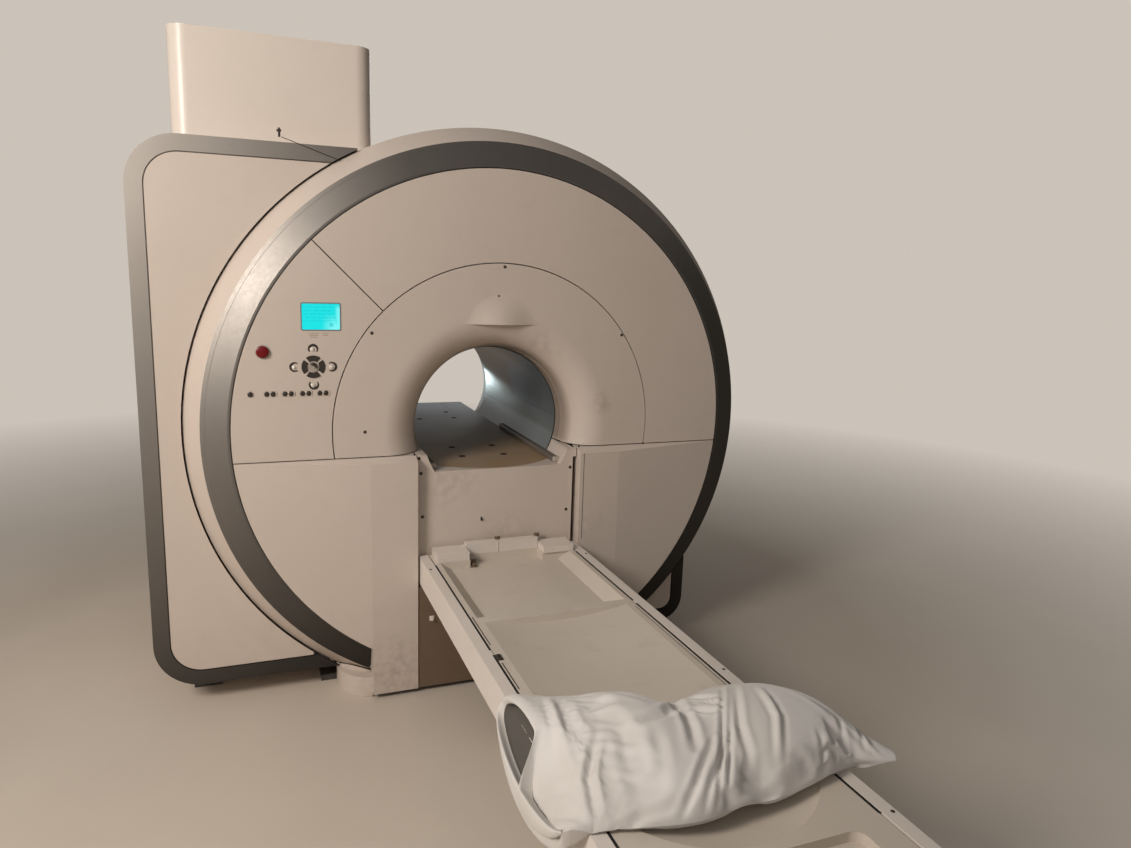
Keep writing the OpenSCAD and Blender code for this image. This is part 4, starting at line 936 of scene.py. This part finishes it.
# Each ring of the cover: its near end, its far end, the middle of its top and the middle of its bottom.
# The first three lie inside, the fourth is the open edge, and the last is the far corner.
PILLOW_RINGS = [
    ((-215, -2350, 576), (-215, -2000, 580), (-215, -2170, 606), (-215, -2170, 578)),
    ((-300, -2362, 572), (-298, -1958, 578), (-290, -2120, 618), (-304, -2150, 582)),
    ((-350, -2377, 548), (-340, -1930, 566), (-327, -2110, 616), (-355, -2140, 505)),
    ((-362, -2396, 541), (-352, -1911, 572), (-335, -2105, 622), (-387, -2120, 516)),
    ((-354, -2406, 545), (-340, -1900, 574), (-318, -2105, 632), (-377, -2140, 446)),
    ((-330, -2422, 560), (-322, -1904, 578), (-290, -2140, 637), (-336, -2150, 500)),
    ((-300, -2430, 567), (-290, -1922, 580), (-258, -2170, 645), (-312, -2160, 563)),
    ((-225, -2450, 569), (-215, -1964, 582), (-205, -2200, 655), (-225, -2200, 562)),
    ((-105, -2484, 569), (-95, -2022, 584), (-100, -2240, 662), (-100, -2240, 562)),
    ((20, -2490, 569), (-10, -2082, 580), (5, -2280, 652), (5, -2280, 562)),
    ((135, -2482, 570), (130, -2085, 587), (132, -2280, 672), (132, -2280, 562)),
    ((245, -2462, 572), (285, -2122, 588), (262, -2290, 664), (262, -2290, 564)),
    ((350, -2436, 576), (388, -2290, 582), (368, -2364, 624), (368, -2364, 568)),
    ((434, -2441, 579), (442, -2412, 580), (438, -2426, 590), (438, -2426, 574)),
]
LAST_RING = len(PILLOW_RINGS) - 1
# Creases seen in the cover: points along each, its half width and its depth, where less than 0 is a ridge
PILLOW_CREASES = [
    ([(111, -2200), (-3, -2383), (-75, -2488)], 5, 12),
    ([(127, -2202), (16, -2383), (-52, -2488)], 5, 9),
    ([(141, -2204), (68, -2337), (46, -2418)], 8, 9),
    ([(189, -2240), (164, -2347), (112, -2430)], 7, -9),
    ([(2, -2150), (-33, -2303), (-57, -2364)], 10, 10),
    ([(4, -2185), (-64, -2248), (-129, -2256)], 12, 10),
    ([(-6, -2352), (-101, -2441), (-150, -2470)], 6, 12),
    ([(29, -2360), (-60, -2440), (-100, -2478)], 5, 9),
    ([(-234, -2236), (-285, -2320), (-300, -2393)], 9, 11),
    ([(-190, -2200), (-225, -2330), (-236, -2410)], 13, -4),
    ([(-262, -2010), (-296, -2190), (-306, -2315)], 9, -6),
    ([(-240, -2040), (-262, -2160), (-262, -2240)], 12, 6),
    ([(-296, -2443), (-222, -2437), (-145, -2452)], 7, 9),
    ([(-10, -2450), (60, -2464), (255, -2433)], 7, 8),
    ([(31, -2182), (75, -2226)], 7, 8),
    ([(-2, -2239), (47, -2276)], 7, 8),
    ([(40, -2215), (70, -2262)], 6, 6),
    ([(390, -2330), (362, -2410)], 5, 6),
    ([(330, -2350), (300, -2440)], 6, 7),
    ([(285, -2370), (262, -2450)], 6, 7),
    ([(245, -2390), (222, -2455)], 6, 6),
    ([(-150, -2060), (-60, -2180)], 16, 6),
    ([(220, -2160), (300, -2280), (330, -2360)], 12, 6),
    ([(-330, -2390), (-352, -2330), (-362, -2270)], 8, 7),
    ([(-330, -2300), (-356, -2240)], 7, 6),
    ([(-120, -2300), (-150, -2400)], 12, 4),
]
# Ring of the open edge, and how far the upper sheet lies off the lower where they hang together
OPEN_RING = 3
FLAP_STEP = Vector((-17, 0, 35))
# Exponents of a section above and below, less being fuller, and the pull of its points to its ends
FULL_ABOVE, FULL_BELOW, END_PULL = 0.62, 0.5, 0.16
# Depth, place and width of the low ridge beside a crease, as shares of the crease's own
RIDGE_DEPTH, RIDGE_PLACE, RIDGE_WIDTH = 0.45, 2.0, 0.8
# The left rail's outer side and the rails' top, which the cover stays off
RAIL_SIDE = -325
RAIL_TOP = 561
# Even steps from the inmost ring to the far corner, and points round half of a ring
RING_STEPS = 118
HALF_ROUND = 46
AROUND = 2 * HALF_ROUND
# How far in the dark inside of the cover shows: grey ticking, darkened as painted shade of the pocket
INSIDE_SHADE_END = 2.3
# Furthest that the simulation may move a point, in metres, and how many frames it runs
MOST_SWELL = 0.024
SWELL_FRAMES = 20


def flow(points, t):
    """A smooth curve through the points; t runs from 0 at the first to 1 at the last."""
    span = t * (len(points) - 1)
    i = min(int(span), len(points) - 2)
    u = span - i
    a, b = points[i], points[i + 1]
    before = points[i - 1] if i else a
    after = points[i + 2] if i + 2 < len(points) else b
    ta, tb = (b - before) * 0.5, (after - a) * 0.5
    return (a * (2 * u ** 3 - 3 * u * u + 1) + ta * (u ** 3 - 2 * u * u + u) + b * (3 * u * u - 2 * u ** 3)
            + tb * (u ** 3 - u * u))


def shut_share(w):
    """1 where the open end's two sheets hang together, near the foot end, and 0 where they part."""
    t = min(max((0.46 - w) / 0.14, 0.0), 1.0)
    return t * t * (3 - 2 * t)


def pillow_shell():
    """Closed cover with a pocket at its open end, in rings of even steps."""
    lines = [[Vector(point) for point in line] for line in zip(*PILLOW_RINGS)]
    bm = bmesh.new()
    rings = []
    for i in range(RING_STEPS + 1):
        near, far, top, bottom = [flow(line, i / RING_STEPS) for line in lines]
        centre = near.lerp(far, 0.5)
        place = i / RING_STEPS * LAST_RING
        # The gap between the sheets narrows inwards, and their fold ends 2.5 rings past the open edge
        flap = FLAP_STEP * min(max((place - 1.5) / 2, 0.15), 1.0)
        fold = min(max(OPEN_RING + 2.5 - place, 0.0), 1.0)
        ring = []
        for k in range(AROUND):
            up = k < HALF_ROUND
            w = k / HALF_ROUND if up else 2 - k / HALF_ROUND
            w = w - END_PULL * math.sin(2 * math.pi * w) / (2 * math.pi)
            offset = (bottom - centre) * math.sin(math.pi * w) ** FULL_BELOW
            if up:
                above = (top - centre) * math.sin(math.pi * w) ** FULL_ABOVE
                offset = above.lerp(offset + flap, shut_share(w) * fold)
            ring.append(bm.verts.new((near.lerp(far, w) + offset) / 1000))
        rings.append(ring)
    for a, b in zip(rings, rings[1:]):
        join_rings(bm, a, b)
    for ring in (rings[0], rings[-1]):
        hub = bm.verts.new(sum((v.co for v in ring), Vector()) / len(ring))
        for k in range(AROUND):
            bm.faces.new((hub, ring[k], ring[(k + 1) % AROUND]))
    bmesh.ops.recalc_face_normals(bm, faces=bm.faces)
    return bm


def swell_cloth(piece):
    """Fills the cover by cloth simulation; the open end and the far corner are held."""
    rest = [v.co.copy() for v in piece.data.vertices]
    hold = piece.vertex_groups.new(name="held")
    held, free, corner = [ring / LAST_RING * RING_STEPS for ring in (OPEN_RING, 8, 12.2)]
    for i in range(RING_STEPS + 1):
        weight = max((free - i) / (free - held), (i - corner) / (RING_STEPS - corner), 0.0)
        hold.add([i * AROUND + k for k in range(AROUND)], min(weight, 1.0), "REPLACE")
    cloth = piece.modifiers.new("cloth", "CLOTH")
    s = cloth.settings
    s.quality = 6
    s.mass = 0.3
    s.tension_stiffness = s.compression_stiffness = 18
    s.shear_stiffness = 6
    s.bending_stiffness = 0.12
    s.use_pressure = True
    s.uniform_pressure_force = 3.2
    s.shrink_min = -0.045
    s.shrink_max = -0.045
    s.effector_weights.gravity = 0
    s.vertex_group_mass = "held"
    s.pin_stiffness = 4
    cloth.collision_settings.use_collision = False
    scene = bpy.context.scene
    for number in range(1, SWELL_FRAMES + 1):
        scene.frame_set(number)
    graph = bpy.context.evaluated_depsgraph_get()
    moved = [v.co.copy() for v in piece.evaluated_get(graph).data.vertices]
    piece.modifiers.clear()
    piece.vertex_groups.clear()
    scene.frame_set(1)
    for v, a, b in zip(piece.data.vertices, rest, moved):
        step = b - a
        v.co = a + step * min(1.0, MOST_SWELL / max(step.length, 1e-9))


def press_creases(mesh, inside_faces):
    """Carves the creases into the top of the cover, and keeps it off the rail and the tabletop."""
    count = len(mesh.vertices)
    places, facing = np.empty(count * 3), np.empty(count * 3)
    mesh.vertices.foreach_get("co", places)
    mesh.vertex_normals.foreach_get("vector", facing)
    places, up = places.reshape(-1, 3) * 1000, facing.reshape(-1, 3)[:, 2]
    lift = np.zeros(count)
    for points, half_width, depth in PILLOW_CREASES:
        best, along = np.full(count, 1e9), np.zeros(count)
        total = len(points) - 1
        for i, (a, b) in enumerate(zip(points, points[1:])):
            dx, dy = b[0] - a[0], b[1] - a[1]
            u = np.clip(((places[:, 0] - a[0]) * dx + (places[:, 1] - a[1]) * dy) / (dx * dx + dy * dy), 0, 1)
            away = np.hypot(places[:, 0] - a[0] - u * dx, places[:, 1] - a[1] - u * dy)
            along = np.where(away < best, (i + u) / total, along)
            best = np.minimum(best, away)
        fade = np.sin(math.pi * np.clip(along, 0.03, 0.97)) ** 0.5
        across = best / half_width
        ridge = RIDGE_DEPTH * np.exp(-((across - RIDGE_PLACE) / RIDGE_WIDTH) ** 2)
        lift -= depth * fade * (np.exp(-across ** 2) - ridge)
    for face in mesh.polygons[:inside_faces]:
        lift[list(face.vertices)] = 0
    # Only what faces up is pressed
    places[:, 2] += lift * np.clip((up - 0.15) / 0.35, 0, 1)
    low = places[:, 2] < RAIL_TOP
    beside = low & (places[:, 0] <= RAIL_SIDE)
    places[:, 2] = np.where(low & ~beside, RAIL_TOP, places[:, 2])
    places[:, 0] = np.where(beside, np.minimum(places[:, 0], RAIL_SIDE - 1), places[:, 0])
    mesh.vertices.foreach_set("co", (places / 1000).ravel())
    mesh.update()


def add_pillow():
    piece = finish_piece("pillow_cover", pillow_shell(), "cotton", "table")
    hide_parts("pillow")
    swell_cloth(piece)
    fine = piece.modifiers.new("fine", "SUBSURF")
    fine.levels = fine.render_levels = 1
    smooth = settle(piece)
    inside_faces = int(INSIDE_SHADE_END / LAST_RING * RING_STEPS) * 4 * AROUND
    press_creases(smooth, inside_faces)
    smooth.shade_smooth()
    # What lies inside the cover is darker: grey ticking, darkened as painted shade of the pocket
    smooth.materials.append(FINISH["inside_shade"])
    for face in smooth.polygons[:inside_faces]:
        face.material_index = 1


set_up_camera()
set_up_light()
finish_nodes()
add_floor()
add_screws()
add_stop_button()
add_pad_marks()
add_row_marks()
add_display_trim()
add_front_fittings()
add_runners()
add_mouth_lines()
add_cabinet_fittings()
add_table_fittings()
add_pillow()
